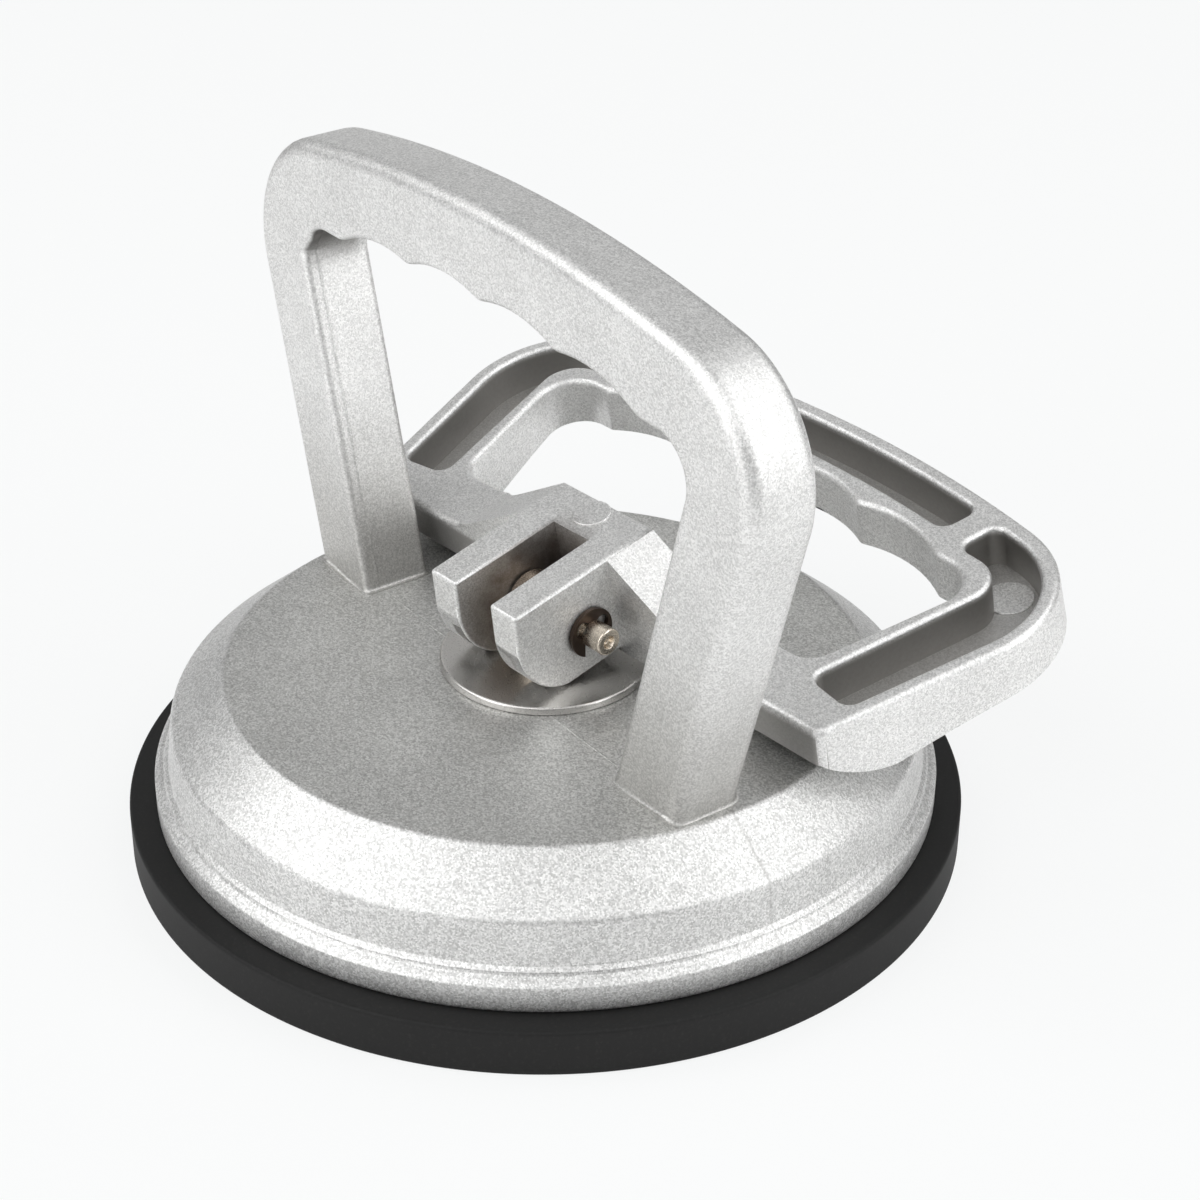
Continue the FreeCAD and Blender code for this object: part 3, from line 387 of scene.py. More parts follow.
@dataclass(frozen=True)
class LeverAluminium(CastAluminium):
    """The lever's metal: blasted outside, dark as cast with painted shade in the pockets, painted shadow on
    the bar's front, greasy in the hub's slot.
    """

    name: str = "blasted_die_cast_aluminium_lever"
    shadow_hex: str = "#B8B8B7"
    light_hex: str = "#FFFFFE"
    stand: LeverFrame = LeverFrame()
    slot_half_mm: float = 3.75
    slot_from_mm: float = 0.25
    slot_full_mm: float = 0.02
    grease_from_mm: float = 15.0
    grease_full_mm: float = 6.6
    wear_mm: float = 2.5
    wear_share: float = 0.7
    wear_least: float = 0.45
    grease_hex: str = "#6E6158"
    top_mm: float = -1.3
    # The marked faces darken with depth below the top: the pockets as cast with painted shade over it, the
    # bar's front with painted shadow.
    skin_and_shade_from_mm: float = 0.4
    skin_and_shade_full_mm: float = 1.5
    skin_and_shade_hex: str = "#9D9B98"

    def tone(
        self, tree: bpy.types.NodeTree, place: bpy.types.NodeSocket, colour: bpy.types.NodeSocket
    ) -> bpy.types.NodeSocket:
        """Darken the marked faces: the pockets, which the blasting hardly reaches, with painted shade as
        well, and the bar's front with painted shadow; stain the walls of the slot.

        Args:
            tree: The material's node tree.
            place: The Object coordinate socket.
            colour: The plain metal's colour.

        Returns:
            The tinted colour's socket.
        """
        stand = self.stand
        pose = {
            "Vector": place,
            "Location": (0.0, 0.0, stand.pivot_mm * MM),
            "Rotation": (math.radians(stand.tilt_degrees), 0.0, math.radians(stand.turn_degrees)),
        }
        about_pin = add_node(tree, "ShaderNodeMapping", {"vector_type": "TEXTURE"}, pose)
        parts = add_node(tree, "ShaderNodeSeparateXYZ", None, (about_pin,)).node.outputs
        across = add_node(tree, "ShaderNodeMath", ABSOLUTE, (parts[0],))
        reach = add_node(tree, "ShaderNodeVectorMath", {"operation": "LENGTH"}, (about_pin,), "Value")
        top, half = self.top_mm, self.slot_half_mm
        deep, in_slot, near_pin = (
            add_node(
                tree,
                "ShaderNodeMapRange",
                SMOOTH_STEP,
                {"Value": value, "From Min": start * MM, "From Max": end * MM},
            )
            for value, start, end in (
                (parts[2], top - self.skin_and_shade_from_mm, top - self.skin_and_shade_full_mm),
                (across, half + self.slot_from_mm, half + self.slot_full_mm),
                (reach, self.grease_from_mm, self.grease_full_mm),
            )
        )
        # Darker tone on the marked faces: as cast plus painted shade in the pockets, painted shadow on the
        # bar's front.
        pocket = add_node(tree, "ShaderNodeAttribute", {"attribute_name": SKIN_AND_SHADE_MARK}, output="Fac")
        skin_and_shade = add_node(tree, "ShaderNodeMath", TIMES, (pocket, deep))
        skin_and_shade_ends = {0: skin_and_shade, MIX_FIRST: colour, MIX_SECOND: self.skin_and_shade_hex}
        cast = add_node(tree, "ShaderNodeMix", MIX, skin_and_shade_ends, MIX_RESULT)
        noise = {"Vector": place, "Scale": 1 / (self.wear_mm * MM), "Detail": 4.0}
        wear = add_node(tree, "ShaderNodeTexNoise", None, noise)
        patchy = add_node(tree, "ShaderNodeMath", TIMES_PLUS, (wear, self.wear_share, self.wear_least))
        reached = add_node(tree, "ShaderNodeMath", TIMES, (in_slot, near_pin))
        stain = add_node(tree, "ShaderNodeMath", TIMES, (reached, patchy))
        held = add_node(tree, "ShaderNodeMath", {"operation": "MINIMUM"}, (stain, 1.0))
        grease = {0: held, MIX_FIRST: cast, MIX_SECOND: self.grease_hex}
        return add_node(tree, "ShaderNodeMix", MIX, grease, MIX_RESULT)


@dataclass(frozen=True)
class SmoothSteel(Finish):
    """Steel, turned, ground or plated: an even metal with a fine lay of tool marks.

    Real marks are a few hundredths of a millimetre wide; these are drawn wide enough to show.
    """

    colour_hex: str
    roughness: float
    glossier: float = 0.85
    duller: float = 1.2
    lay_mm: float = 0.25
    relief_mm: float = 0.003
    relief_strength: float = 0.25

    def build(self) -> bpy.types.Material:
        """Make the material.

        Returns:
            The finished material.
        """
        material, tree, place = self.start()
        noise = {"Vector": place, "Scale": 1 / (self.lay_mm * MM), "Detail": 2.0}
        lay = add_node(tree, "ShaderNodeTexNoise", None, noise)
        gloss = add_node(
            tree,
            "ShaderNodeMapRange",
            inputs={
                "Value": lay,
                "From Min": NOISE_LOW,
                "From Max": NOISE_HIGH,
                "To Min": self.roughness * self.glossier,
                "To Max": self.roughness * self.duller,
            },
        )
        marks = {"Strength": self.relief_strength, "Distance": self.relief_mm * MM, "Height": lay}
        shader = {
            "Base Color": self.colour_hex,
            "Metallic": 1.0,
            "Roughness": gloss,
            "Normal": add_node(tree, "ShaderNodeBump", None, marks),
        }
        self.close(tree, shader)
        return material


@dataclass(frozen=True)
class PolishedSteel(SmoothSteel):
    """Ground and polished steel: a bright grey mirror, softened by wear."""

    name: str = "polished_steel"
    colour_hex: str = "#CBC9C6"
    roughness: float = 0.3


@dataclass(frozen=True)
class TurnedSteel(SmoothSteel):
    """Bare steel from the lathe: a warm, slightly yellow shine."""

    name: str = "turned_steel"
    colour_hex: str = "#D6CCBE"
    roughness: float = 0.26


@dataclass(frozen=True)
class ZincPlatedSteel(SmoothSteel):
    """Steel with a clear zinc plating: cool and pale."""

    name: str = "zinc_plated_steel"
    colour_hex: str = "#C8CBCE"
    roughness: float = 0.3


@dataclass(frozen=True)
class SpringWire(SmoothSteel):
    """Drawn spring wire: a darker grey with little shine."""

    name: str = "drawn_spring_wire"
    colour_hex: str = "#8C8E90"
    roughness: float = 0.35


@dataclass(frozen=True)
class BlackenedSteel(SmoothSteel):
    """Oil-blackened spring steel: dark brown with a dull shine."""

    name: str = "blackened_spring_steel"
    colour_hex: str = "#4A4039"
    roughness: float = 0.35


@dataclass(frozen=True)
class MouldedRubber(Finish):
    """Black moulded rubber: matt, with the mould's fine texture and a little dust.

    The texture is drawn coarser than the real one, so that it shows.
    """

    name: str = "moulded_black_rubber"
    colour_hex: str = "#131313"
    dust_hex: str = "#1E1E1D"
    dust_from: float = 0.5
    dust_full: float = 0.8
    grain_mm: float = 0.5
    relief_mm: float = 0.015
    relief_strength: float = 0.3
    roughness: float = 0.6
    sheen: float = 0.28

    def build(self) -> bpy.types.Material:
        """Make the material.

        Returns:
            The finished material.
        """
        material, tree, place = self.start()
        noise = {"Vector": place, "Scale": 1 / (self.grain_mm * MM), "Detail": 4.0}
        grain = add_node(tree, "ShaderNodeTexNoise", None, noise)
        step = {"Value": grain, "From Min": self.dust_from, "From Max": self.dust_full}
        dust = add_node(tree, "ShaderNodeMapRange", SMOOTH_STEP, step)
        ends = {0: dust, MIX_FIRST: self.colour_hex, MIX_SECOND: self.dust_hex}
        texture = {"Strength": self.relief_strength, "Distance": self.relief_mm * MM, "Height": grain}
        shader = {
            "Base Color": add_node(tree, "ShaderNodeMix", MIX, ends, MIX_RESULT),
            "Roughness": self.roughness,
            "Specular IOR Level": self.sheen,
            "Normal": add_node(tree, "ShaderNodeBump", None, texture),
        }
        self.close(tree, shader)
        return material


def put_mesh(name: str, points: np.ndarray, faces: np.ndarray) -> bpy.types.Object:
    """Make a mesh object at the origin from millimetre points.

    Args:
        name: The piece's name.
        points: Array of shape (n, 3) in millimetres.
        faces: Array of shape (m, 4) of point numbers; a triangle repeats its last number.

    Returns:
        The linked object.
    """
    mesh = bpy.data.meshes.new(name)
    mesh.from_pydata((points * MM).tolist(), [], [list(dict.fromkeys(face)) for face in faces.tolist()])
    mesh.validate()
    piece = bpy.data.objects.new(name, mesh)
    bpy.context.scene.collection.objects.link(piece)
    return piece


def mesh_values(items: bpy.types.bpy_prop_collection, name: str, width: int, kind: type) -> np.ndarray:
    """Read one property of all items of a mesh.

    Args:
        items: The mesh's vertices, edges, loops or polygons.
        name: The property's name.
        width: How many numbers each item has.
        kind: The numbers' type.

    Returns:
        Array of shape (n, width), or (n,) for a width of 1.
    """
    values = np.empty(len(items) * width, kind)
    items.foreach_get(name, values)
    return values if width == 1 else values.reshape(-1, width)


def grid_faces(rows: int, columns: int, close_rows: bool, close_columns: bool) -> np.ndarray:
    """Quads between the points of a grid.

    Args:
        rows: Number of rows.
        columns: Number of columns.
        close_rows: Whether the last row joins the first.
        close_columns: Whether the last column joins the first.

    Returns:
        Array of shape (m, 4) of point numbers.
    """
    row = np.arange(rows if close_rows else rows - 1)[:, None]
    column = np.arange(columns if close_columns else columns - 1)[None, :]
    next_row = (row + 1) % rows
    next_column = (column + 1) % columns
    corners = [
        row * columns + column,
        next_row * columns + column,
        next_row * columns + next_column,
        row * columns + next_column,
    ]
    return np.stack([np.broadcast_to(c, (row.size, column.size)).ravel() for c in corners], axis=1)


def face_outwards(piece: bpy.types.Object, same_place_m: float = 1e-7) -> None:
    """Join points that lie on each other, and turn a closed mesh's faces outwards.

    Args:
        piece: The object whose mesh is closed.
        same_place_m: Points that are nearer than this are joined.
    """
    edit = bmesh.new()
    edit.from_mesh(piece.data)
    bmesh.ops.remove_doubles(edit, verts=edit.verts, dist=same_place_m)
    if edit.calc_volume(signed=True) < 0:
        bmesh.ops.reverse_faces(edit, faces=edit.faces)
    edit.to_mesh(piece.data)
    edit.free()


def shade_smooth(piece: bpy.types.Object, sharp_degrees: float) -> None:
    """Shade a mesh smooth and keep its sharp edges.

    Args:
        piece: The object.
        sharp_degrees: Edges that turn more than this stay sharp.
    """
    piece.data.polygons.foreach_set("use_smooth", np.ones(len(piece.data.polygons), bool))
    piece.data.set_sharp_from_angle(angle=math.radians(sharp_degrees))
    piece.data.update()


def dress(piece: bpy.types.Object, material: bpy.types.Material, body: Body) -> bpy.types.Object:
    """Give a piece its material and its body.

    Args:
        piece: The object.
        material: The finish.
        body: The body that it rides on.

    Returns:
        The same object.
    """
    piece.data.materials.clear()
    piece.data.materials.append(material)
    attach(piece, body.value)
    LOG.info("piece %s with %d faces rides on %s", piece.name, len(piece.data.polygons), body.value)
    return piece


def merged_copy(node: str, name: str, flat_degrees: float, same_place_m: float = 2e-6) -> bpy.types.Object:
    """Copy a CAD node with its triangles merged into faces.

    Args:
        node: The CAD node's name.
        name: The new piece's name.
        flat_degrees: Faces that turn less than this against each other become one.
        same_place_m: Points that are nearer than this are joined.

    Returns:
        The new object.
    """
    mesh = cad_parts[node].data.copy()
    mesh.name = name
    edit = bmesh.new()
    edit.from_mesh(mesh)
    bmesh.ops.remove_doubles(edit, verts=edit.verts, dist=same_place_m)
    bmesh.ops.dissolve_limit(
        edit,
        angle_limit=math.radians(flat_degrees),
        verts=edit.verts,
        edges=edit.edges,
        use_dissolve_boundaries=False,
    )
    edit.to_mesh(mesh)
    edit.free()
    if mesh.has_custom_normals:
        mesh.attributes.remove(mesh.attributes["custom_normal"])
    piece = bpy.data.objects.new(name, mesh)
    bpy.context.scene.collection.objects.link(piece)
    return piece


def edge_turns(mesh: bpy.types.Mesh) -> np.ndarray:
    """Angle between the two faces at each edge, in degrees; negative in a hollow.

    Args:
        mesh: A closed mesh.

    Returns:
        Array of one angle for each edge.
    """
    edit = bmesh.new()
    edit.from_mesh(mesh)
    turns = np.array([edge.calc_face_angle_signed(0.0) for edge in edit.edges])
    edit.free()
    return np.degrees(turns)


def break_edges(
    piece: bpy.types.Object, widths_mm: np.ndarray, segments: int, sharp_degrees: float = 32.0
) -> None:
    """Round the edges of a piece, each by its own width, and shade it smooth.

    Args:
        piece: The object.
        widths_mm: Width of the rounding of each edge, 0 for none.
        segments: Number of strips in each rounding.
        sharp_degrees: Edges that turn more than this stay sharp.
    """
    widest = float(widths_mm.max())
    weights = piece.data.attributes.new("bevel_weight_edge", "FLOAT", "EDGE")
    weights.data.foreach_set("value", (widths_mm / widest).astype(np.float32))
    bevel = piece.modifiers.new("broken_edges", "BEVEL")
    bevel.width = widest * MM
    bevel.segments = segments
    bevel.limit_method = "WEIGHT"
    bevel.use_clamp_overlap = False
    bevel.loop_slide = False
    bevel.harden_normals = True
    shade_smooth(piece, sharp_degrees)


def corner_arc(
    before: np.ndarray, corner: np.ndarray, after: np.ndarray, rounding: float, share: np.ndarray
) -> np.ndarray:
    """Points of the arc that rounds a corner.

    The arc touches both sides at radius / tan(half the corner's angle) from the corner, and its centre
    lies on the corner's bisector. A point at a share of the turn is the centre plus
    (sin((1 - share) turn) first + sin(share turn) last) / sin(turn).

    Args:
        before: A point on the side before the corner.
        corner: The corner.
        after: A point on the side after it.
        rounding: The arc's radius.
        share: Array (n,) of shares of the turn, from 0 to 1.

    Returns:
        Array of shape (n, 2).
    """
    to_before = (before - corner) / np.linalg.norm(before - corner)
    to_after = (after - corner) / np.linalg.norm(after - corner)
    half_angle = math.acos(float(np.clip(to_before @ to_after, -1, 1))) / 2
    touch = rounding / math.tan(half_angle)
    bisector = (to_before + to_after) / np.linalg.norm(to_before + to_after)
    centre = corner + bisector * rounding / math.sin(half_angle)
    first, last = corner + to_before * touch - centre, corner + to_after * touch - centre
    turn = math.pi - 2 * half_angle
    along = share[:, None] * turn
    return centre + (np.sin(turn - along) * first + np.sin(along) * last) / math.sin(turn)


def rounded_section(
    corners: list[tuple[float, float, float]], closed: bool = True, steps: int = 6, hold_mm: float = 0.3
) -> np.ndarray:
    """Round the corners of an outline.

    A point follows each arc at a small distance, so that flat sides stay flat when they are shaded.

    Args:
        corners: Radius or x, height or y, and the rounding of each corner, in millimetres.
        closed: Whether the last corner joins the first.
        steps: Number of segments in each arc.
        hold_mm: Distance from an arc to the point that holds its flat side.

    Returns:
        Array of shape (n, 2).
    """
    spots = np.array([corner[:2] for corner in corners], float)
    share = np.linspace(0, 1, steps + 1)
    pieces: list[np.ndarray] = []
    for number, (_, _, rounding) in enumerate(corners):
        here = spots[number]
        is_end = not closed and number in (0, len(spots) - 1)
        if rounding <= 0 or is_end:
            pieces.append(here[None, :])
            continue
        arc = corner_arc(spots[number - 1], here, spots[(number + 1) % len(spots)], rounding, share)
        touch = float(np.linalg.norm(arc[0] - here))
        held = 1 + min(hold_mm, touch) / touch
        pieces.append(np.vstack([here + (arc[0] - here) * held, arc, here + (arc[-1] - here) * held]))
    return np.vstack(pieces)


def lathe(
    name: str, section: np.ndarray, closed: bool, segments: int, sharp_degrees: float = 50.0
) -> bpy.types.Object:
    """Turn a section about the vertical axis: x = r cos(a), y = r sin(a), z = height.

    Args:
        name: The piece's name.
        section: Array of shape (n, 2): radius and height.
        closed: Whether the section is a ring; otherwise it starts and ends on the axis.
        segments: Number of steps round the axis.
        sharp_degrees: Edges that turn more than this stay sharp.

    Returns:
        The new object.
    """
    angle = np.linspace(0, 2 * math.pi, segments, endpoint=False)
    radius, height = section[:, :1], np.broadcast_to(section[:, 1:], (len(section), segments))
    points = np.stack([radius * np.cos(angle), radius * np.sin(angle), height], axis=2).reshape(-1, 3)
    piece = put_mesh(name, points, grid_faces(len(section), segments, closed, True))
    face_outwards(piece)
    shade_smooth(piece, sharp_degrees)
    return piece


def sweep(name: str, points: np.ndarray, sharp_degrees: float) -> bpy.types.Object:
    """Make a closed piece from the places of a section that is carried along a path.

    A fan of triangles about the mean of its points closes each end.

    Args:
        name: The piece's name.
        points: Array (rows, columns, 3) in millimetres; each row is the closed section at one place.
        sharp_degrees: Edges that turn more than this stay sharp.

    Returns:
        The new object.
    """
    rows, columns = points.shape[:2]
    column = np.arange(columns)
    beside = (column + 1) % columns
    last = (rows - 1) * columns
    middle = np.full(columns, rows * columns)
    start_cap = np.stack([column, beside, middle, middle], axis=1)
    end_cap = np.stack([last + beside, last + column, middle + 1, middle + 1], axis=1)
    faces = np.vstack([grid_faces(rows, columns, False, True), start_cap, end_cap])
    piece = put_mesh(name, np.vstack([points.reshape(-1, 3), points[[0, -1]].mean(axis=1)]), faces)
    face_outwards(piece)
    shade_smooth(piece, sharp_degrees)
    return piece


def place_mesh(piece: bpy.types.Object, matrix: Matrix) -> None:
    """Move a piece's points, by a matrix in metres, and leave its object at the origin."""
    piece.data.transform(matrix)
    piece.data.update()


@dataclass
class Dome:
    """The round body: crown, slope, skirt, bead and rim, hollow underneath. Sizes in millimetres."""

    bore: float = 4.15
    bore_round: float = 0.2
    boss: float = 9.4
    boss_z: float = 19.0
    boss_round: float = 0.4
    ceiling_z: float = 21.8
    ceiling_round: float = 0.5
    crown_inner: float = 43.8
    waist_inner: float = 49.7
    waist_inner_z: float = 17.0
    inner_round: float = 1.5
    rim_inner: float = 51.5
    rim_inner_z: float = 9.9
    rim_inner_round: float = 0.5
    rim: float = 56.5
    rim_low: float = 7.0
    rim_low_inner_round: float = 0.3
    rim_low_round: float = 0.6
    rim_z: float = 11.8
    rim_bevel: float = 0.65
    bevel_round: float = 0.35
    fall: float = 0.2
    groove: float = 0.2
    groove_drop: float = 0.5
    groove_round: float = 0.7
    bead: float = 55.0
    bead_low: float = 12.5
    bead_inset: float = 0.58
    bead_round: float = 0.3
    waist: float = 53.7
    waist_z: float = 19.4
    waist_round: float = 1.6
    crown: float = 45.8
    crown_z: float = 25.8
    crown_round: float = 1.4
    segments: int = 288

    def build(self) -> bpy.types.Object:
        """Turn the body; the rounded edges of its rim and bead catch two bright rings of light.

        Returns:
            The new object.
        """
        bevel_z = self.rim_z - self.fall
        section = [
            (self.bore, self.boss_z, self.bore_round),
            (self.boss, self.boss_z, self.boss_round),
            (self.boss, self.ceiling_z, self.ceiling_round),
            (self.crown_inner, self.ceiling_z, self.inner_round),
            (self.waist_inner, self.waist_inner_z, self.inner_round),
            (self.rim_inner, self.rim_inner_z, self.rim_inner_round),
            (self.rim_inner, self.rim_low, self.rim_low_inner_round),
            (self.rim, self.rim_low, self.rim_low_round),
            (self.rim, bevel_z - self.rim_bevel, self.bevel_round),
            (self.rim - self.rim_bevel, bevel_z, self.bevel_round),
            (self.bead + self.groove, self.bead_low - self.groove_drop, self.groove_round),
            (self.bead, self.bead_low, self.bead_round),
            (self.bead - self.bead_inset, self.bead_low + self.bead_inset, self.bevel_round),
            (self.waist, self.waist_z, self.waist_round),
            (self.crown, self.crown_z, self.crown_round),
            (self.bore, self.crown_z, self.bore_round),
        ]
        return lathe("dome_casting", rounded_section(section), True, self.segments)

    def dress(self, finish: bpy.types.Material) -> None:
        """Build and dress the dome, and let it stand for the CAD casting."""
        piece = dress(self.build(), finish, Body.BASE)
        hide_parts("body_casting")


@dataclass(frozen=True)
class Rows:
    """Where the rows of the handle's right half lie: heights at the foot, then shares of each stretch."""

    low: np.ndarray
    leg: np.ndarray
    turn: np.ndarray
    top: np.ndarray


@dataclass
class GripHandle:
    """The upright D handle: flared legs, a bowed top and four finger hollows. Sizes in millimetres."""

    crown_z: float = 25.8
    foot_sink: float = 1.0
    front: float = -10.9
    back: float = 0.1
    foot: float = 44.0
    corner: float = 61.3
    corner_z: float = 88.8
    bow: float = 8.18
    shoulder: float = 18.0
    opening_foot: float = 30.5
    opening_corner: float = 45.6
    opening_corner_z: float = 80.7
    opening_z: float = 83.8
    opening_round: float = 5.6
    finger_pitch: float = 17.1
    finger_depth: float = 1.6
    cusp_softness: float = 0.22
    outer_round: float = 2.3
    inner_round: float = 1.1
    foot_round: float = 0.6
    foot_clear: float = 1.6
    seam_y: float = -8.75
    seam_height: float = 0.06
    seam_width: float = 0.16
    seam_span: float = 1.6
    seam_clear: float = 0.6
    front_hold: float = 0.06
    back_hold: float = 0.3
    notch: tuple[float, float] = (-44.2, 75.7)
    notch_depth: float = 0.9
    notch_width: float = 0.6
    bulge: tuple[float, float] = (-43.0, 78.2)
    bulge_height: float = 0.5
    bulge_width: float = 1.1
    flaw_reach: float = 2.6
    leg_crowding: float = 1.6
    leg_steps: int = 90
    shoulder_steps: int = 36
    top_steps: int = 140
    quarter_steps: int = 7
    seam_steps: int = 9
    flat_steps: int = 4
    face_shares: tuple[float, ...] = (0.04, 0.2, 0.4, 0.6, 0.8, 0.96)
    sharp_degrees: float = 60.0

    def scallops(self, across: np.ndarray) -> np.ndarray:
        """Height of the opening's upper edge at a distance from the middle.

        Each finger hollow is an arc over its chord, and the ledge at each end is level. The edge is the
        softened maximum of them all, s log(sum(exp(z / s))), which rounds the cusps between the fingers.

        Args:
            across: Distance from the middle, in millimetres.

        Returns:
            The heights, in millimetres.
        """
        # The cusps lie on a parabola that falls from the middle to the level ledges.
        number = np.arange(-2.0, 3.0)
        cusp_x = number * self.finger_pitch
        cusp_z = self.opening_z - (self.opening_z - self.opening_corner_z) * (number / 2) ** 2
        start = np.stack([cusp_x[:-1], cusp_z[:-1]], axis=1)
        chord = np.stack([cusp_x[1:], cusp_z[1:]], axis=1) - start
        length = np.linalg.norm(chord, axis=1)
        radius = length**2 / (8 * self.finger_depth) + self.finger_depth / 2
        rise = np.stack([-chord[:, 1], chord[:, 0]], axis=1) / length[:, None]
        centre = start + chord / 2 - rise * (radius - self.finger_depth)[:, None]
        reach = np.clip(radius**2 - (across[:, None] - centre[:, 0]) ** 2, 0, None)
        arcs = centre[:, 1] + np.sqrt(reach)
        edges = np.column_stack([arcs, np.full(len(across), self.opening_corner_z)])
        top = edges.max(axis=1)
        soft = np.exp((edges - top[:, None]) / self.cusp_softness).sum(axis=1)
        return top + self.cusp_softness * np.log(soft)

    def right_outer(self, rows: Rows) -> np.ndarray:
        """Right half of the outer outline, from the foot to the middle of the top.

        The leg is a line, the top an arc over its chord, and the shoulder a circle that touches both:
        its centre lies at its radius inside the line, and at the arc's radius less its own from the
        arc's centre.

        Args:
            rows: Where the rows lie.

        Returns:
            Array of shape (n, 2): x and z.
        """
        height = self.corner_z - self.crown_z
        along = np.array([self.corner - self.foot, height]) / math.hypot(self.corner - self.foot, height)
        inward = np.array([-along[1], along[0]])
        arc_radius = self.corner**2 / (2 * self.bow) + self.bow / 2
        arc_centre = np.array([0.0, self.corner_z + self.bow - arc_radius])
        base = np.array([self.foot, self.crown_z]) + inward * self.shoulder - arc_centre
        half = base @ along
        gap = base @ base - (arc_radius - self.shoulder) ** 2
        centre = arc_centre + base + along * (-half + math.sqrt(half**2 - gap))
        touch_leg = centre - inward * self.shoulder
        way_up = (centre - arc_centre) / np.linalg.norm(centre - arc_centre)
        foot_x = self.foot + (rows.low - self.crown_z) * along[0] / along[1]
        foot_rows = np.stack([foot_x, rows.low], axis=1)
        leg_rows = foot_rows[-1] + rows.leg[:, None] * (touch_leg - foot_rows[-1])
        first, last = math.atan2(-inward[1], -inward[0]), math.atan2(way_up[1], way_up[0])
        angles = first + rows.turn * (last - first)
        turn_rows = centre + self.shoulder * np.stack([np.cos(angles), np.sin(angles)], axis=1)
        arc_x = (arc_centre + way_up * arc_radius)[0] * (1 - rows.top)
        arc_rows = np.stack([arc_x, arc_centre[1] + np.sqrt(arc_radius**2 - arc_x**2)], axis=1)
        return np.vstack([foot_rows, leg_rows, turn_rows, arc_rows])

    def right_inner(self, rows: Rows) -> np.ndarray:
        """Right half of the opening's outline, row by row beside the outer one.

        Args:
            rows: Where the rows lie.

        Returns:
            Array of shape (n, 2): x and z.
        """
        foot = np.array([self.opening_foot, self.crown_z])
        corner = np.array([self.opening_corner, self.opening_corner_z])
        slope = (foot - corner)[0] / (foot - corner)[1]
        turn_rows = corner_arc(foot, corner, corner - (1.0, 0.0), self.opening_round, rows.turn)
        foot_rows = np.stack([self.opening_foot + (rows.low - self.crown_z) * slope, rows.low], axis=1)
        leg_rows = foot_rows[-1] + rows.leg[:, None] * (turn_rows[0] - foot_rows[-1])
        edge_x = turn_rows[-1, 0] * (1 - rows.top)
        edge_rows = np.stack([edge_x, self.scallops(edge_x)], axis=1)
        return np.vstack([foot_rows, leg_rows, turn_rows, edge_rows])

    def outlines(self) -> tuple[np.ndarray, np.ndarray, np.ndarray]:
        """Both outlines from the right foot over the top to the left foot, and the flare at the feet.

        The flare is a quarter circle, so that a fillet runs round each foot.

        Returns:
            Outer outline, inner outline, and how far each row's section is let out, in millimetres.
        """
        angle = np.linspace(math.pi / 2, 0, self.quarter_steps)
        fillet_z = self.crown_z + self.foot_round * (1 - np.sin(angle))
        above_z = self.crown_z + self.foot_round * self.foot_clear
        flare = np.concatenate([[self.foot_round], self.foot_round * (1 - np.cos(angle)), [0.0]])
        rows = Rows(
            low=np.concatenate([[self.crown_z - self.foot_sink], fillet_z, [above_z]]),
            leg=1 - (1 - np.linspace(0, 1, self.leg_steps)[1:-1]) ** self.leg_crowding,
            turn=np.linspace(0, 1, self.shoulder_steps),
            top=np.linspace(0, 1, self.top_steps)[1:],
        )
        outer, inner = self.right_outer(rows), self.right_inner(rows)
        let_out = np.concatenate([flare, np.zeros(len(outer) - len(flare))])
        mirror = np.array([-1.0, 1.0])
        return (
            np.vstack([outer, outer[-2::-1] * mirror]),
            np.vstack([inner, inner[-2::-1] * mirror]),
            np.concatenate([let_out, let_out[-2::-1]]),
        )

    def scar(self, opening: np.ndarray) -> np.ndarray:
        """Height of the casting flaw at the opening's upper left corner: a notch and a swelling above it.

        Both are bells, height exp(-(distance / width)^2), laid off across the outline.

        Args:
            opening: Array (rows, 2) of the opening's outline.

        Returns:
            Array of one height for each row, above the metal.
        """
        from_notch = np.linalg.norm(opening - self.notch, axis=1)
        from_bulge = np.linalg.norm(opening - self.bulge, axis=1)
        swelling = self.bulge_height * np.exp(-((from_bulge / self.bulge_width) ** 2))
        return swelling - self.notch_depth * np.exp(-((from_notch / self.notch_width) ** 2))

    def side_strip(
        self,
        outline: np.ndarray,
        rounding: float,
        let_out: np.ndarray,
        seam_height: float,
        flaw: np.ndarray | float,
        outward_sign: float,
    ) -> tuple[np.ndarray, np.ndarray]:
        """One side of the section from its front face to its back face, for all rows at once.

        The strip is a quarter circle, the flat side with the mould's seam on it, and a quarter circle.
        The seam is a thin ridge, height exp(-((y - seam) / width)^2). The flaw fades with the distance
        from the front, by exp(-(distance / reach)^2).

        Args:
            outline: Array (rows, 2) of the side's outline.
            rounding: Radius of the side's edges.
            let_out: Distance by which each row's section is let out.
            seam_height: Height of the mould's seam, 0 where it was dressed off.
            flaw: Height of the casting flaw in each row, 0 for none.
            outward_sign: 1 where the air lies to the right of the outline's way, -1 to the left.

        Returns:
            Array (rows, columns, 2) of places in the outline's plane, and (rows, columns) of depths.
        """
        way = np.gradient(outline, axis=0)
        outward = outward_sign * np.stack([way[:, 1], -way[:, 0]], axis=1)
        outward /= np.linalg.norm(outward, axis=1, keepdims=True)
        quarter = np.linspace(0, math.pi / 2, self.quarter_steps)
        radius = (rounding + let_out)[:, None]
        front, back = (self.front - let_out)[:, None], (self.back + let_out)[:, None]
        front_end, back_end = self.front + rounding, self.back - rounding - self.back_hold
        seam_steps = np.linspace(-self.seam_span, self.seam_span, self.seam_steps)
        behind_seam = np.linspace(self.seam_y + self.seam_clear, back_end, self.flat_steps)
        near_seam = self.seam_y + self.seam_width * seam_steps
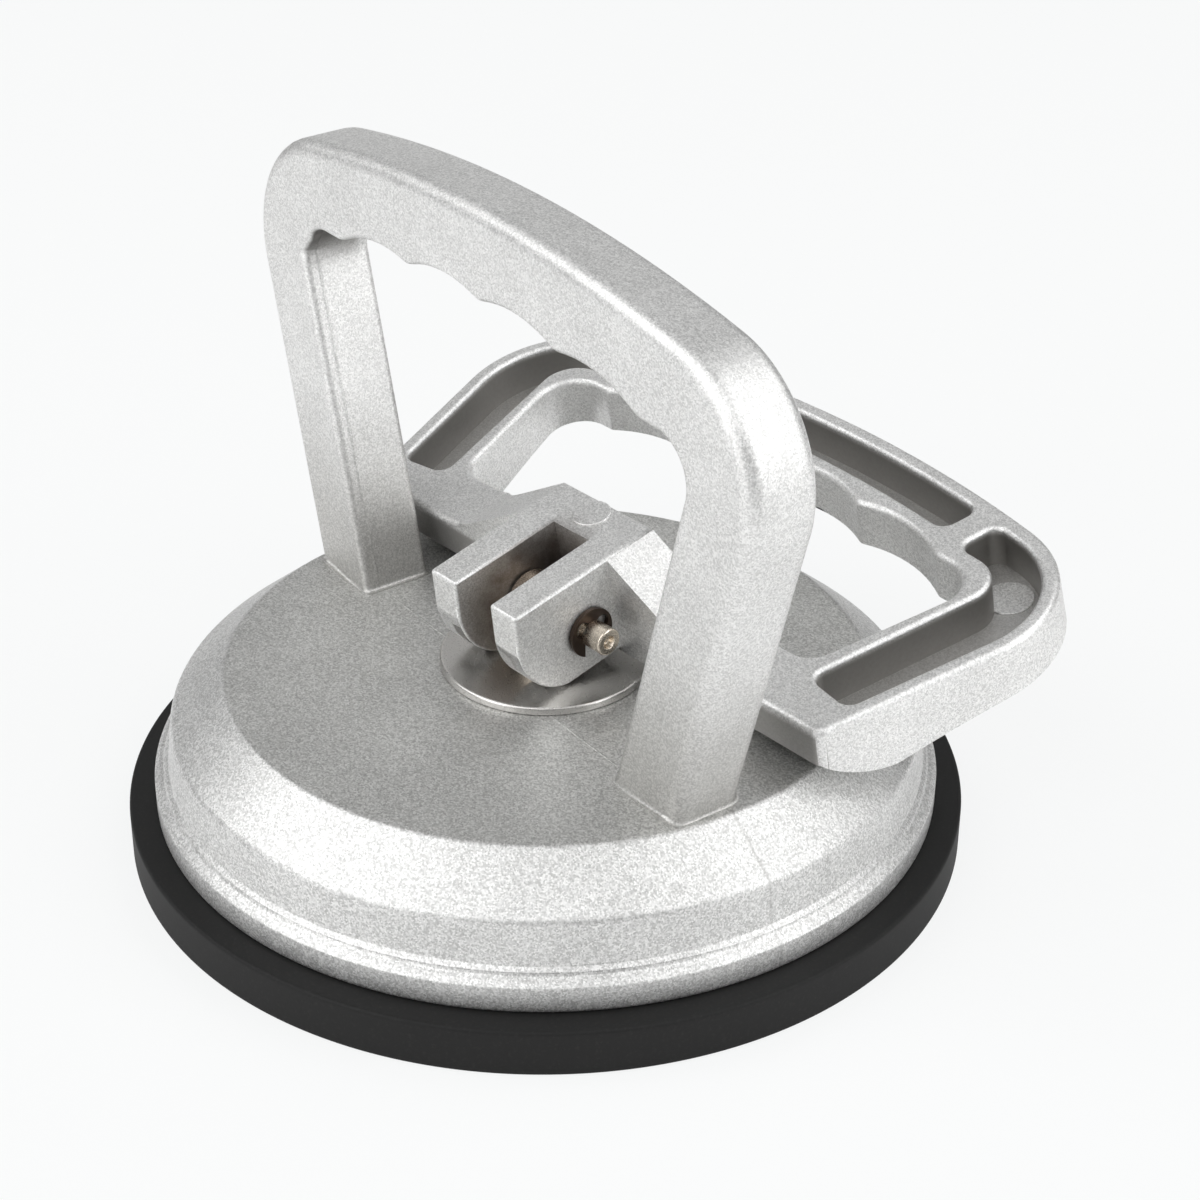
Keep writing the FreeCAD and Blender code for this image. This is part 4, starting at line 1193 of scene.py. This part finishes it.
        flat_y = np.concatenate([[front_end + self.front_hold], near_seam, behind_seam])
        flat_y = np.sort(flat_y[flat_y > front_end])
        ridge = seam_height * np.exp(-(((flat_y - self.seam_y) / self.seam_width) ** 2))
        flat_shape = (len(outline), len(flat_y))
        push = [
            radius * (np.sin(quarter) - 1),
            np.broadcast_to(ridge, flat_shape),
            radius * (np.cos(quarter) - 1),
        ]
        depths = [
            front + radius * (1 - np.cos(quarter)),
            np.broadcast_to(flat_y, flat_shape),
            back - radius * (1 - np.sin(quarter)),
        ]
        depth = np.concatenate(depths, axis=1)
        fading = np.exp(-(((depth - self.front) / self.flaw_reach) ** 2))
        reach = np.concatenate(push, axis=1) + let_out[:, None] + np.reshape(flaw, (-1, 1)) * fading
        return outline[:, None, :] + reach[:, :, None] * outward[:, None, :], depth

    def build(self) -> bpy.types.Object:
        """Carry a section of two faces and two sides along both outlines.

        Returns:
            The new object.
        """
        outer, inner, let_out = self.outlines()
        outer_place, outer_depth = self.side_strip(outer, self.outer_round, let_out, 0.0, 0.0, 1.0)
        inner_place, inner_depth = self.side_strip(
            inner, self.inner_round, let_out, self.seam_height, self.scar(inner), -1.0
        )
        share = np.array(self.face_shares)[None, :, None]
        front_place = inner_place[:, :1] + share * (outer_place[:, :1] - inner_place[:, :1])
        back_place = outer_place[:, -1:] + share * (inner_place[:, -1:] - outer_place[:, -1:])
        front_depth = np.broadcast_to(outer_depth[:, :1], front_place.shape[:2])
        back_depth = np.broadcast_to(outer_depth[:, -1:], back_place.shape[:2])
        place = np.concatenate([front_place, outer_place, back_place, inner_place[:, ::-1]], axis=1)
        depth = np.concatenate([front_depth, outer_depth, back_depth, inner_depth[:, ::-1]], axis=1)
        points = np.stack([place[:, :, 0], depth, place[:, :, 1]], axis=2)
        return sweep("grip_handle", points, self.sharp_degrees)

    def dress(self, finish: bpy.types.Material) -> None:
        """Build and dress the handle, and let it stand for the CAD casting with the dome."""
        piece = dress(self.build(), finish, Body.BASE)
        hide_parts("body_casting")


@dataclass
class RubberPad:
    """The moulded pad: sealing face with its vent groove, and the locating ring. Sizes in millimetres."""

    radius: float = 60.4
    height: float = 7.0
    edge: float = 0.5
    small_edge: float = 0.2
    groove: float = 50.0
    groove_width: float = 3.0
    groove_depth: float = 0.8
    ring_outer: float = 51.2
    ring_inner: float = 47.2
    ring_z: float = 9.6
    segments: int = 256

    def build(self) -> bpy.types.Object:
        """Turn the pad's section.

        Returns:
            The new object.
        """
        section = [
            (0.0, 0.0, 0.0),
            (self.groove, 0.0, self.small_edge),
            (self.groove, self.groove_depth, self.small_edge),
            (self.groove + self.groove_width, self.groove_depth, self.small_edge),
            (self.groove + self.groove_width, 0.0, self.small_edge),
            (self.radius, 0.0, self.edge),
            (self.radius, self.height, self.edge),
            (self.ring_outer, self.height, self.small_edge),
            (self.ring_outer, self.ring_z, self.small_edge),
            (self.ring_inner, self.ring_z, self.small_edge),
            (self.ring_inner, self.height, self.small_edge),
            (0.0, self.height, 0.0),
        ]
        return lathe("moulded_pad", rounded_section(section, closed=False), False, self.segments)

    def dress(self, finish: bpy.types.Material) -> None:
        """Build and dress the pad, and let it stand for the CAD's."""
        piece = dress(self.build(), finish, Body.BASE)
        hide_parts("rubber_pad")


@dataclass
class CamWasher:
    """The polished washer that the cam rides on. Sizes in millimetres."""

    bore: float = 4.35
    bore_low_edge: float = 0.15
    radius: float = 15.2
    low: float = 25.8
    high: float = 27.0
    small_edge: float = 0.2
    edge: float = 0.38
    segments: int = 160

    def build(self) -> bpy.types.Object:
        """Turn the washer's section.

        Returns:
            The new object.
        """
        section = [
            (self.bore, self.low, self.bore_low_edge),
            (self.radius, self.low, self.small_edge),
            (self.radius, self.high, self.edge),
            (self.bore, self.high, self.small_edge),
        ]
        return lathe("polished_washer", rounded_section(section, hold_mm=0.2), True, self.segments)

    def dress(self, finish: bpy.types.Material) -> None:
        """Build and dress the washer, and let it stand for the CAD's."""
        piece = dress(self.build(), finish, Body.WASHER)
        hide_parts("cam_washer")


@dataclass
class HingePin:
    """The turned pin, with a groove for each clip and a hollow in each end. Sizes in millimetres."""

    radius: float = 2.0
    half: float = 13.5
    tip: float = 0.3
    groove_start: float = 9.25
    groove_width: float = 0.8
    groove_depth: float = 0.5
    groove_edge: float = 0.05
    groove_root: float = 0.08
    dimple: float = 1.0
    dimple_edge: float = 0.12
    dimple_depth: float = 0.9
    dimple_floor: float = 0.6
    dimple_root: float = 0.15
    segments: int = 64

    def build(self, stand: LeverFrame) -> bpy.types.Object:
        """Turn the pin's section and lay it along the hinge.

        Args:
            stand: The lever's frame.

        Returns:
            The new object.
        """
        inner = self.radius - self.groove_depth
        groove_end = self.groove_start + self.groove_width
        floor = self.half - self.dimple_depth
        right = [
            (self.radius, self.groove_start, self.groove_edge),
            (inner, self.groove_start, self.groove_root),
            (inner, groove_end, self.groove_root),
            (self.radius, groove_end, self.groove_edge),
            (self.radius, self.half, self.tip),
            (self.dimple, self.half, self.dimple_edge),
            (self.dimple_floor, floor, self.dimple_root),
            (0.0, floor, 0.0),
        ]
        left = [(radius, -place, rounding) for radius, place, rounding in reversed(right)]
        section = rounded_section(left + right, closed=False, hold_mm=0.1)
        piece = lathe("turned_hinge_pin", section, False, self.segments)
        place_mesh(piece, stand.turned() @ Matrix.Rotation(math.radians(90), 4, "Y"))
        return piece

    def dress(self, finish: bpy.types.Material, stand: LeverFrame) -> None:
        """Build and dress the pin, and let it stand for the CAD's."""
        piece = dress(self.build(stand), finish, Body.LEVER)
        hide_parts("hinge_pin")


@dataclass
class ReturnSpring:
    """The coil between the plate and the casting. Sizes in millimetres."""

    radius: float = 11.4
    wire: float = 0.72
    low: float = 10.8
    high: float = 21.0
    turns: float = 3.0
    ceiling: float = 21.8
    keep: float = 0.58
    steps_per_turn: int = 72
    wire_steps: int = 16
    sharp_degrees: float = 50.0

    def build(self) -> bpy.types.Object:
        """Sweep the wire's circle along the helix.

        The centre line is (r cos t, r sin t, z), with t from 0 to the turns and z rising evenly. The
        wire's circle lies across it, spanned by the outward direction and the helix's own normal.

        Returns:
            The new object.
        """
        steps = int(self.steps_per_turn * self.turns)
        along = np.linspace(0, 2 * math.pi * self.turns, steps)[:, None]
        about = np.linspace(0, 2 * math.pi, self.wire_steps, endpoint=False)[None, :]
        rise = (self.high - self.low) / (2 * math.pi * self.turns)
        slope = math.atan2(rise, self.radius)
        out = self.radius + self.wire * np.cos(about)
        lean = self.wire * np.sin(about) * math.sin(slope)
        across = out * np.cos(along) + lean * np.sin(along)
        deep = out * np.sin(along) - lean * np.cos(along)
        height = self.low + rise * along + self.wire * np.sin(about) * math.cos(slope)
        return sweep("coiled_spring", np.stack([across, deep, height], axis=2), self.sharp_degrees)

    def dress(self, finish: bpy.types.Material) -> None:
        """Build and dress the coil, give it a mesh of its own, and let it stand for the CAD's."""
        piece = dress(self.build(), finish, Body.BASE)
        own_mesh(piece)
        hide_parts("return_spring")


@dataclass
class LeverCasting:
    """The lever with its hub: edges rounded as cast, pockets marked. Sizes in the lever's frame, mm."""

    top: float = -1.3
    pocket_floor: float = -7.8
    rim_round: float = 0.8
    hub_round: float = 0.45
    edge_round: float = 1.0
    hub_half: float = 9.15
    hub_top: float = 9.5
    hub_clear: float = 1.0
    flank_foot: float = 26.0
    flank_blend: float = 1.1
    blend_reach: float = 7.0
    blend_cuts: tuple[float, ...] = (-6.0, -4.2, -2.8, -1.6, -0.7, 0.0, 0.7, 1.6, 2.8, 4.2, 6.0)
    bar_rear: float = 15.3
    bar_front: float = 6.0
    underside: float = -7.0
    corner_drop: float = 1.15
    corner_start: float = 47.4
    corner_end: float = 48.75
    corner_rear: float = 5.95
    # Shares of the darker tone: pocket floors as cast with painted shade, the bar's front painted shadow.
    floor_skin_and_shade: float = 0.55
    front_painted_shadow: float = 0.8
    front_facing: float = -0.9
    level: float = 0.03
    flat: float = 0.05
    near: float = 0.1
    flat_degrees: float = 0.04
    sharp_degrees: float = 30.0

    def mend_corners(self, mesh: bpy.types.Mesh, stand: LeverFrame) -> None:
        """Lay even strips over the two drafted corners of the bar, whose triangles are uneven.

        The points inside each corner go first, which leaves one large face there.

        Args:
            mesh: The lever's mesh.
            stand: The lever's frame.
        """
        places = stand.seen(mesh_values(mesh.vertices, "co", 3, np.float32))
        across, along, height = np.abs(places[:, 0]), places[:, 1], places[:, 2]
        upper_z = self.top - self.corner_drop
        inside = (height < upper_z) & (height > self.underside + self.near) & (along < self.corner_rear)
        inside &= (across > self.corner_start) & (across < self.corner_end)
        edit = bmesh.new()
        edit.from_mesh(mesh)
        edit.verts.ensure_lookup_table()
        bmesh.ops.dissolve_verts(edit, verts=[edit.verts[number] for number in np.flatnonzero(inside)])
        for face in [face for face in edit.faces if len(face.verts) > 4]:
            corners = stand.seen(np.array([vert.co for vert in face.verts]))
            middle = corners.mean(axis=0)
            if abs(middle[0]) > self.corner_start and middle[1] < self.corner_rear and middle[2] < upper_z:
                self.lay_strip(edit, face, corners, upper_z)
        edit.to_mesh(mesh)
        edit.free()

    def lay_strip(
        self, edit: bmesh.types.BMesh, face: bmesh.types.BMFace, corners: np.ndarray, upper_z: float
    ) -> None:
        """Put a strip of triangles in the place of a face, between its upper and its lower edge.

        At each step the edge whose next point lies at the smaller share of its length moves on.

        Args:
            edit: The mesh that is being edited.
            face: The face.
            corners: Array (n, 3) of its corners in the lever's frame.
            upper_z: Height that parts the upper edge from the lower one.
        """
        chains = []
        for chosen in (corners[:, 2] > upper_z, corners[:, 2] < upper_z):
            chain = np.flatnonzero(chosen)
            chain = chain[np.argsort(corners[chain, 1])]
            steps = np.linalg.norm(np.diff(corners[chain], axis=0), axis=1)
            shares = np.concatenate([[0.0], np.cumsum(steps)]) / steps.sum()
            chains.append(([face.verts[number] for number in chain], shares))
        (upper, upper_share), (lower, lower_share) = chains
        normal = face.normal.copy()
        bmesh.ops.delete(edit, geom=[face], context="FACES_ONLY")
        above, below = 0, 0
        while above < len(upper) - 1 or below < len(lower) - 1:
            is_above = below == len(lower) - 1 or (
                above < len(upper) - 1 and upper_share[above + 1] <= lower_share[below + 1]
            )
            third = upper[above + 1] if is_above else lower[below + 1]
            strip = edit.faces.new((upper[above], lower[below], third))
            strip.normal_update()
            if strip.normal.dot(normal) < 0:
                strip.normal_flip()
            above, below = above + is_above, below + (not is_above)

    def blend_flanks(self, mesh: bpy.types.Mesh, stand: LeverFrame) -> None:
        """Let each flank of the hub run softly into the arm.

        The mesh is cut across at a few places by each foot. The top surface then rises by
        s log(1 + exp(-|flank - arm| / s)), which turns the bend between both planes into a curve.

        Args:
            mesh: The lever's mesh.
            stand: The lever's frame.
        """
        tilted = stand.tilted()
        edit = bmesh.new()
        edit.from_mesh(mesh)
        for offset in self.blend_cuts:
            for side in (-1.0, 1.0):
                spot = tilted @ Vector((side * (self.flank_foot + offset) * MM, 0, 0))
                everything = edit.verts[:] + edit.edges[:] + edit.faces[:]
                way = tilted.to_3x3().col[0]
                bmesh.ops.bisect_plane(edit, geom=everything, dist=1e-6, plane_co=spot, plane_no=way)
        edit.to_mesh(mesh)
        edit.free()
        places = stand.seen(mesh_values(mesh.vertices, "co", 3, np.float32))
        across = np.abs(places[:, 0])
        slope = (self.hub_top - self.top) / (self.flank_foot - self.hub_half)
        bend = np.abs(across - self.flank_foot) * slope
        rise = self.flank_blend * np.log1p(np.exp(-bend / self.flank_blend))
        on_bar = (across < self.flank_foot + self.blend_reach) & (places[:, 1] < self.bar_rear + self.near)
        on_bar &= (across > self.hub_half + self.hub_clear) & (places[:, 2] > self.top - self.edge_round)
        places[:, 2] += np.where(on_bar, rise, 0.0)
        forward = np.array(tilted)
        flat = (places * MM) @ forward[:3, :3].T + forward[:3, 3]
        mesh.vertices.foreach_set("co", flat.astype(np.float32).ravel())
        mesh.update()

    def mark_skin_and_shade(self, mesh: bpy.types.Mesh, places: np.ndarray, stand: LeverFrame) -> None:
        """Mark the faces that get a darker tone.

        These are the pockets' floors and walls, which reach down to the floors' height exactly, as cast with
        painted shade over them, and the bar's front beside the hub, which faces the handle's legs, with a
        painted shadow of the legs.

        Args:
            mesh: The lever's mesh.
            places: Array (n, 3) of its points in the lever's frame.
            stand: The lever's frame.
        """
        corners = mesh_values(mesh.loops, "vertex_index", 1, np.int32)
        starts = mesh_values(mesh.polygons, "loop_start", 1, np.int32)
        lowest = np.minimum.reduceat(places[corners, 2], starts)
        highest = np.maximum.reduceat(places[corners, 2], starts)
        rearmost = np.maximum.reduceat(places[corners, 1], starts)
        nearest = np.minimum.reduceat(np.abs(places[corners, 0]), starts)
        inside = (np.abs(lowest - self.pocket_floor) < self.level) & (highest < self.top + self.level)
        share = np.where(highest - lowest < self.flat, self.floor_skin_and_shade, 1.0) * inside
        normals = mesh_values(mesh.polygons, "normal", 3, np.float32)
        facing = (normals @ np.array(stand.tilted().inverted())[:3, :3].T)[:, 1]
        at_front = (facing < self.front_facing) & (rearmost < self.bar_front)
        at_front &= nearest > self.hub_half - self.near
        # Painted shadow of the handle's legs on the bar's front.
        share = np.where(at_front, self.front_painted_shadow, share)
        mark = mesh.attributes.new(SKIN_AND_SHADE_MARK, "FLOAT", "FACE")
        mark.data.foreach_set("value", share.astype(np.float32))
        LOG.info("pockets: %d of %d faces", inside.sum(), len(inside))

    def edge_widths(self, mesh: bpy.types.Mesh, places: np.ndarray) -> np.ndarray:
        """Choose the rounding of each edge: wide on the pockets' rims, small on the hub.

        Args:
            mesh: The lever's mesh.
            places: Array (n, 3) of its points in the lever's frame.

        Returns:
            Array of one width for each edge, in millimetres, 0 for none.
        """
        ends = mesh_values(mesh.edges, "vertices", 2, np.int32)
        first, second = places[ends[:, 0]], places[ends[:, 1]]
        is_ridge = edge_turns(mesh) > self.sharp_degrees
        is_hub = np.maximum(np.abs(first[:, 0]), np.abs(second[:, 0])) < self.hub_half + self.near
        on_top = np.maximum(np.abs(first[:, 2] - self.top), np.abs(second[:, 2] - self.top)) < self.level
        widths = np.where(is_ridge & is_hub, self.hub_round, 0.0)
        return np.where(is_ridge & on_top, self.rim_round, widths)

    def build(self, stand: LeverFrame) -> bpy.types.Object:
        """Copy the CAD lever, soften its flanks, mark its pockets and round its edges.

        Args:
            stand: The lever's frame.

        Returns:
            The new object.
        """
        piece = merged_copy("lever_casting", "lever_and_hub_casting", self.flat_degrees)
        self.mend_corners(piece.data, stand)
        self.blend_flanks(piece.data, stand)
        places = stand.seen(mesh_values(piece.data.vertices, "co", 3, np.float32))
        self.mark_skin_and_shade(piece.data, places, stand)
        break_edges(piece, self.edge_widths(piece.data, places), segments=4)
        return piece

    def dress(self, finish: bpy.types.Material, stand: LeverFrame) -> None:
        """Build and dress the lever, and let it stand for the CAD casting."""
        piece = dress(self.build(stand), finish, Body.LEVER)
        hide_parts("lever_casting")


@dataclass
class EjectorMarks:
    """Low round pads that the die's ejector pins left on the lever. Places in the lever's frame, mm."""

    pocket_floor: float = -7.8
    pocket_place: tuple[float, float] = (44.2, 47.2)
    pocket_radius: float = 3.6
    hub_top: float = 9.5
    hub_place: tuple[float, float] = (-0.2, 10.9)
    hub_radius: float = 2.85
    height: float = 0.22
    edge: float = 0.15
    sink: float = 0.3
    segments: int = 72

    def build(self, name: str, place: tuple[float, float], floor: float, radius: float) -> bpy.types.Object:
        """Turn one pad: a low disc with a rounded edge.

        Args:
            name: The piece's name.
            place: Where it lies on the lever: x and y.
            floor: Height of the surface that it stands on.
            radius: The pad's radius.

        Returns:
            The new object, still in the lever's frame.
        """
        low, high = floor - self.sink, floor + self.height
        outline = [(0.0, low, 0.0), (radius, low, 0.0), (radius, high, self.edge), (0.0, high, 0.0)]
        section = rounded_section(outline, closed=False, hold_mm=0.05)
        piece = lathe(name, section, False, self.segments)
        place_mesh(piece, Matrix.Translation((place[0] * MM, place[1] * MM, 0)))
        return piece

    def dress(self, finish: bpy.types.Material, stand: LeverFrame) -> None:
        """Set a mark in each arm's pocket and one on the hub.

        Args:
            finish: The lever's metal.
            stand: The lever's frame.
        """
        across, along = self.pocket_place
        for name, place, floor, radius in (
            ("ejector_mark_right", (across, along), self.pocket_floor, self.pocket_radius),
            ("ejector_mark_left", (-across, along), self.pocket_floor, self.pocket_radius),
            ("ejector_mark_hub", self.hub_place, self.hub_top, self.hub_radius),
        ):
            piece = self.build(name, place, floor, radius)
            place_mesh(piece, stand.tilted())
            dress(piece, finish, Body.LEVER)


@dataclass
class CrownSeam:
    """The die's parting line across the crown, from the washer to each leg. Sizes in millimetres."""

    y: float = -8.3
    start: float = 12.9
    end: float = 30.0
    crown_z: float = 25.8
    width: float = 0.32
    height: float = 0.05
    sink: float = 0.2
    wave_steps: int = 9
    length_steps: int = 24
    sharp_degrees: float = 40.0

    def build(self, name: str, sign: float) -> bpy.types.Object:
        """Carry a ridge with the profile of half a cosine wave straight along the crown.

        Args:
            name: The piece's name.
            sign: 1 for the right-hand ridge, -1 for the left one.

        Returns:
            The new object.
        """
        phase = np.linspace(-math.pi / 2, math.pi / 2, self.wave_steps)
        side = np.concatenate([phase / math.pi * self.width, [self.width / 2, -self.width / 2]])
        up = np.concatenate([np.cos(phase) * self.height, [-self.sink, -self.sink]])
        along = sign * np.linspace(self.start, self.end, self.length_steps)[:, None]
        places = np.broadcast_arrays(along, self.y + side[None, :], self.crown_z + up[None, :])
        return sweep(name, np.stack(places, axis=2), self.sharp_degrees)

    def dress(self, finish: bpy.types.Material) -> None:
        """Build and dress both ridges, which belong to the crown alone and replace nothing."""
        for name, sign in (("crown_seam_right", 1.0), ("crown_seam_left", -1.0)):
            dress(self.build(name, sign), finish, Body.BASE)


@dataclass(frozen=True)
class BrokenCopy:
    """A CAD piece that keeps its form and gets its sharp edges broken by a small width."""

    node: str
    name: str
    edge_mm: float
    body: Body
    slot: Slot
    flat_degrees: float = 0.3
    sharp_degrees: float = 30.0

    def build(self) -> bpy.types.Object:
        """Copy the CAD node and break its edges.

        Returns:
            The new object.
        """
        piece = merged_copy(self.node, self.name, self.flat_degrees)
        is_sharp = edge_turns(piece.data) > self.sharp_degrees
        break_edges(piece, np.where(is_sharp, self.edge_mm, 0.0), segments=2)
        return piece

    def dress(self, finish: bpy.types.Material) -> None:
        """Build and dress the copy, and let it stand for its node."""
        piece = dress(self.build(), finish, self.body)
        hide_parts(self.node)


def direction(azimuth_degrees: float, elevation_degrees: float) -> Vector:
    """Unit vector from the object towards a place round it.

    Args:
        azimuth_degrees: Angle about the vertical, 0 in front of the handle and 90 at its right.
        elevation_degrees: Angle above the floor.

    Returns:
        The vector (sin a cos e, -cos a cos e, sin e).
    """
    azimuth, elevation = math.radians(azimuth_degrees), math.radians(elevation_degrees)
    level = math.cos(elevation)
    return Vector((math.sin(azimuth) * level, -math.cos(azimuth) * level, math.sin(elevation)))


@dataclass(frozen=True)
class Lamp:
    """A round soft lamp: where it hangs, its power in watts and its width in metres."""

    name: str
    azimuth_degrees: float
    elevation_degrees: float
    power: float
    size_m: float = 0.8


@dataclass
class Studio:
    """Floor, lamps, surroundings and the camera at the photograph's angle."""

    azimuth_degrees: float = 53.31
    elevation_degrees: float = 30.29
    roll_degrees: float = 0.41
    distance_mm: float = 392.74
    focal_px: float = 2656.24
    origin_px: tuple[float, float] = (546.84, 807.09)
    clip_m: tuple[float, float] = (0.01, 50.0)
    backdrop_hex: str = "#F7F8F8"
    lamps: tuple[Lamp, ...] = (
        Lamp("lamp_front_low", 0.0, 20.0, 4.3),
        Lamp("lamp_right_low", 120.0, 20.0, 4.3),
        Lamp("lamp_behind_low", 240.0, 20.0, 0.6),
        Lamp("lamp_left_low", 315.0, 35.0, 1.6, 0.5),
        Lamp("lamp_front_high", 30.0, 50.0, 2.5),
        Lamp("lamp_right_high", 90.0, 50.0, 1.8),
        Lamp("lamp_behind_right_high", 150.0, 50.0, 3.2),
        Lamp("lamp_behind_left_high", 210.0, 50.0, 0.4),
        Lamp("lamp_front_left_high", 330.0, 50.0, 2.9),
    )
    lamp_distance_m: float = 1.2
    aim_z_m: float = 0.045
    # Each stop is the sine of an angle above the horizon, and the grey that shines from there.
    sky: tuple[tuple[float, float], ...] = (
        (0.0, 0.0),
        (0.17, 0.0),
        (0.23, 0.59),
        (0.37, 0.59),
        (0.43, 0.0),
        (0.57, 0.0),
        (0.63, 0.51),
        (0.77, 0.5),
        (0.85, 0.39),
        (1.0, 0.39),
    )
    floor_half_mm: float = 3000.0
    matt: float = 0.8
    matt_shown: float = 0.12
    glow: float = 0.18
    glow_shown: float = 0.885

    def place_camera(self) -> None:
        """Put the camera where the photograph was taken from."""
        azimuth, roll = math.radians(self.azimuth_degrees), math.radians(self.roll_degrees)
        back = direction(self.azimuth_degrees, self.elevation_degrees)
        right = Vector((math.cos(azimuth), math.sin(azimuth), 0))
        up = back.cross(right)
        turned_right = math.cos(roll) * right + math.sin(roll) * up
        turned_up = -math.sin(roll) * right + math.cos(roll) * up
        shift_right = (self.origin_px[0] - PHOTO_WIDTH_PX / 2) / self.focal_px * self.distance_mm
        shift_up = -(self.origin_px[1] - PHOTO_WIDTH_PX / 2) / self.focal_px * self.distance_mm
        place = -shift_right * turned_right - shift_up * turned_up + self.distance_mm * back
        data = bpy.data.cameras.new("photograph_camera")
        data.sensor_width = SENSOR_MM
        data.lens = SENSOR_MM * self.focal_px / PHOTO_WIDTH_PX
        data.clip_start, data.clip_end = self.clip_m
        camera = bpy.data.objects.new("photograph_camera", data)
        basis = Matrix((turned_right, turned_up, back)).transposed().to_4x4()
        camera.matrix_world = Matrix.Translation(place * MM) @ basis
        bpy.context.scene.collection.objects.link(camera)
        bpy.context.scene.camera = camera

    def hang_lamps(self) -> None:
        """Hang the soft lamps round the object, each turned to its middle."""
        middle = Vector((0, 0, self.aim_z_m))
        for lamp in self.lamps:
            way = direction(lamp.azimuth_degrees, lamp.elevation_degrees)
            data = bpy.data.lights.new(lamp.name, "AREA")
            data.shape = "DISK"
            data.size = lamp.size_m
            data.energy = lamp.power
            hung = bpy.data.objects.new(lamp.name, data)
            turned = way.to_track_quat("Z", "Y").to_matrix().to_4x4()
            hung.matrix_world = Matrix.Translation(middle + way * self.lamp_distance_m) @ turned
            bpy.context.scene.collection.objects.link(hung)

    def shown_ray(self, tree: bpy.types.NodeTree) -> bpy.types.NodeSocket:
        """Return a socket that is 1 for a ray from the camera or through glass, and 0 for the rest."""
        path = add_node(tree, "ShaderNodeLightPath").node.outputs
        kinds = (path["Is Camera Ray"], path["Is Transmission Ray"])
        return add_node(tree, "ShaderNodeMath", {"operation": "MAXIMUM"}, kinds)

    def fill_world(self) -> None:
        """Set surroundings with bright bands, as soft boxes and walls give, and a white backdrop."""
        world = bpy.data.worlds.new("studio")
        world.use_nodes = True
        tree = world.node_tree
        tree.nodes.clear()
        way = add_node(tree, "ShaderNodeTexCoord", output="Generated")
        height = add_node(tree, "ShaderNodeSeparateXYZ", None, (way,), "Z")
        grey = add_node(tree, "ShaderNodeValToRGB", None, (height,))
        grey.node.color_ramp.interpolation = "EASE"
        stops = grey.node.color_ramp.elements
        for place, value in self.sky[1:-1]:
            stops.new(place).color = (value, value, value, 1.0)
        for stop, (place, value) in ((stops[0], self.sky[0]), (stops[-1], self.sky[-1])):
            stop.position = place
            stop.color = (value, value, value, 1.0)
        lit, shown = (
            add_node(tree, "ShaderNodeBackground", None, {"Color": colour, "Strength": 1.0})
            for colour in (grey, self.backdrop_hex)
        )
        both = add_node(tree, "ShaderNodeMixShader", None, (self.shown_ray(tree), lit, shown))
        add_node(tree, "ShaderNodeOutputWorld", None, (both,))
        bpy.context.scene.world = world

    def lay_floor(self) -> None:
        """Lay a pale floor that keeps a faint shadow."""
        half = self.floor_half_mm
        corners = np.array([(-half, -half, 0), (half, -half, 0), (half, half, 0), (-half, half, 0)])
        floor = put_mesh("studio_floor", corners, np.array([[0, 1, 2, 3]]))
        material = bpy.data.materials.new("pale_floor")
        material.use_nodes = True
        tree = material.node_tree
        tree.nodes.clear()
        shown = self.shown_ray(tree)
        grey, strength = (
            add_node(tree, "ShaderNodeMath", TIMES_PLUS, (shown, when_shown - otherwise, otherwise))
            for when_shown, otherwise in ((self.matt_shown, self.matt), (self.glow_shown, self.glow))
        )
        matt = add_node(tree, "ShaderNodeBsdfDiffuse", None, {"Color": grey})
        light = {"Color": self.backdrop_hex, "Strength": strength}
        glow = add_node(tree, "ShaderNodeEmission", None, light)
        both = add_node(tree, "ShaderNodeAddShader", None, (matt, glow))
        add_node(tree, "ShaderNodeOutputMaterial", None, (both,))
        floor.data.materials.append(material)

    def build(self) -> None:
        """Set up the whole studio."""
        bpy.context.scene.view_settings.view_transform = "Standard"
        self.place_camera()
        self.hang_lamps()
        self.fill_world()
        self.lay_floor()
        LOG.info("studio is ready")


def main() -> None:
    """Build the studio and the pieces."""
    logging.basicConfig(level=logging.INFO, format="%(name)s: %(message)s")
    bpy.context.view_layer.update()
    Studio().build()
    stand = LeverFrame()
    dome_metal = DomeAluminium().build()
    handle_metal = HandleAluminium().build()
    lever_metal = LeverAluminium(stand=stand).build()
    turned = TurnedSteel().build()
    zinc = ZincPlatedSteel().build()
    black = BlackenedSteel().build()

    Dome().dress(dome_metal)
    GripHandle().dress(handle_metal)
    RubberPad().dress(MouldedRubber().build())
    CamWasher().dress(PolishedSteel().build())
    HingePin().dress(turned, stand)
    ReturnSpring().dress(SpringWire().build())
    EjectorMarks().dress(lever_metal, stand)
    CrownSeam().dress(dome_metal)
    LeverCasting().dress(lever_metal, stand)
    BrokenCopy("pull_stud", "turned_pull_stud", 0.3, Body.STUD, Slot.TURNED).dress(turned)
    BrokenCopy("backing_plate", "plated_backing_plate", 0.2, Body.STUD, Slot.ZINC).dress(zinc)
    BrokenCopy("lock_nut", "plated_lock_nut", 0.15, Body.STUD, Slot.ZINC).dress(zinc)
    BrokenCopy("retaining_clip_right", "clip_right", 0.08, Body.LEVER, Slot.BLACKENED).dress(black)
    BrokenCopy("retaining_clip_left", "clip_left", 0.08, Body.LEVER, Slot.BLACKENED).dress(black)


if __name__ == "__main__":
    main()
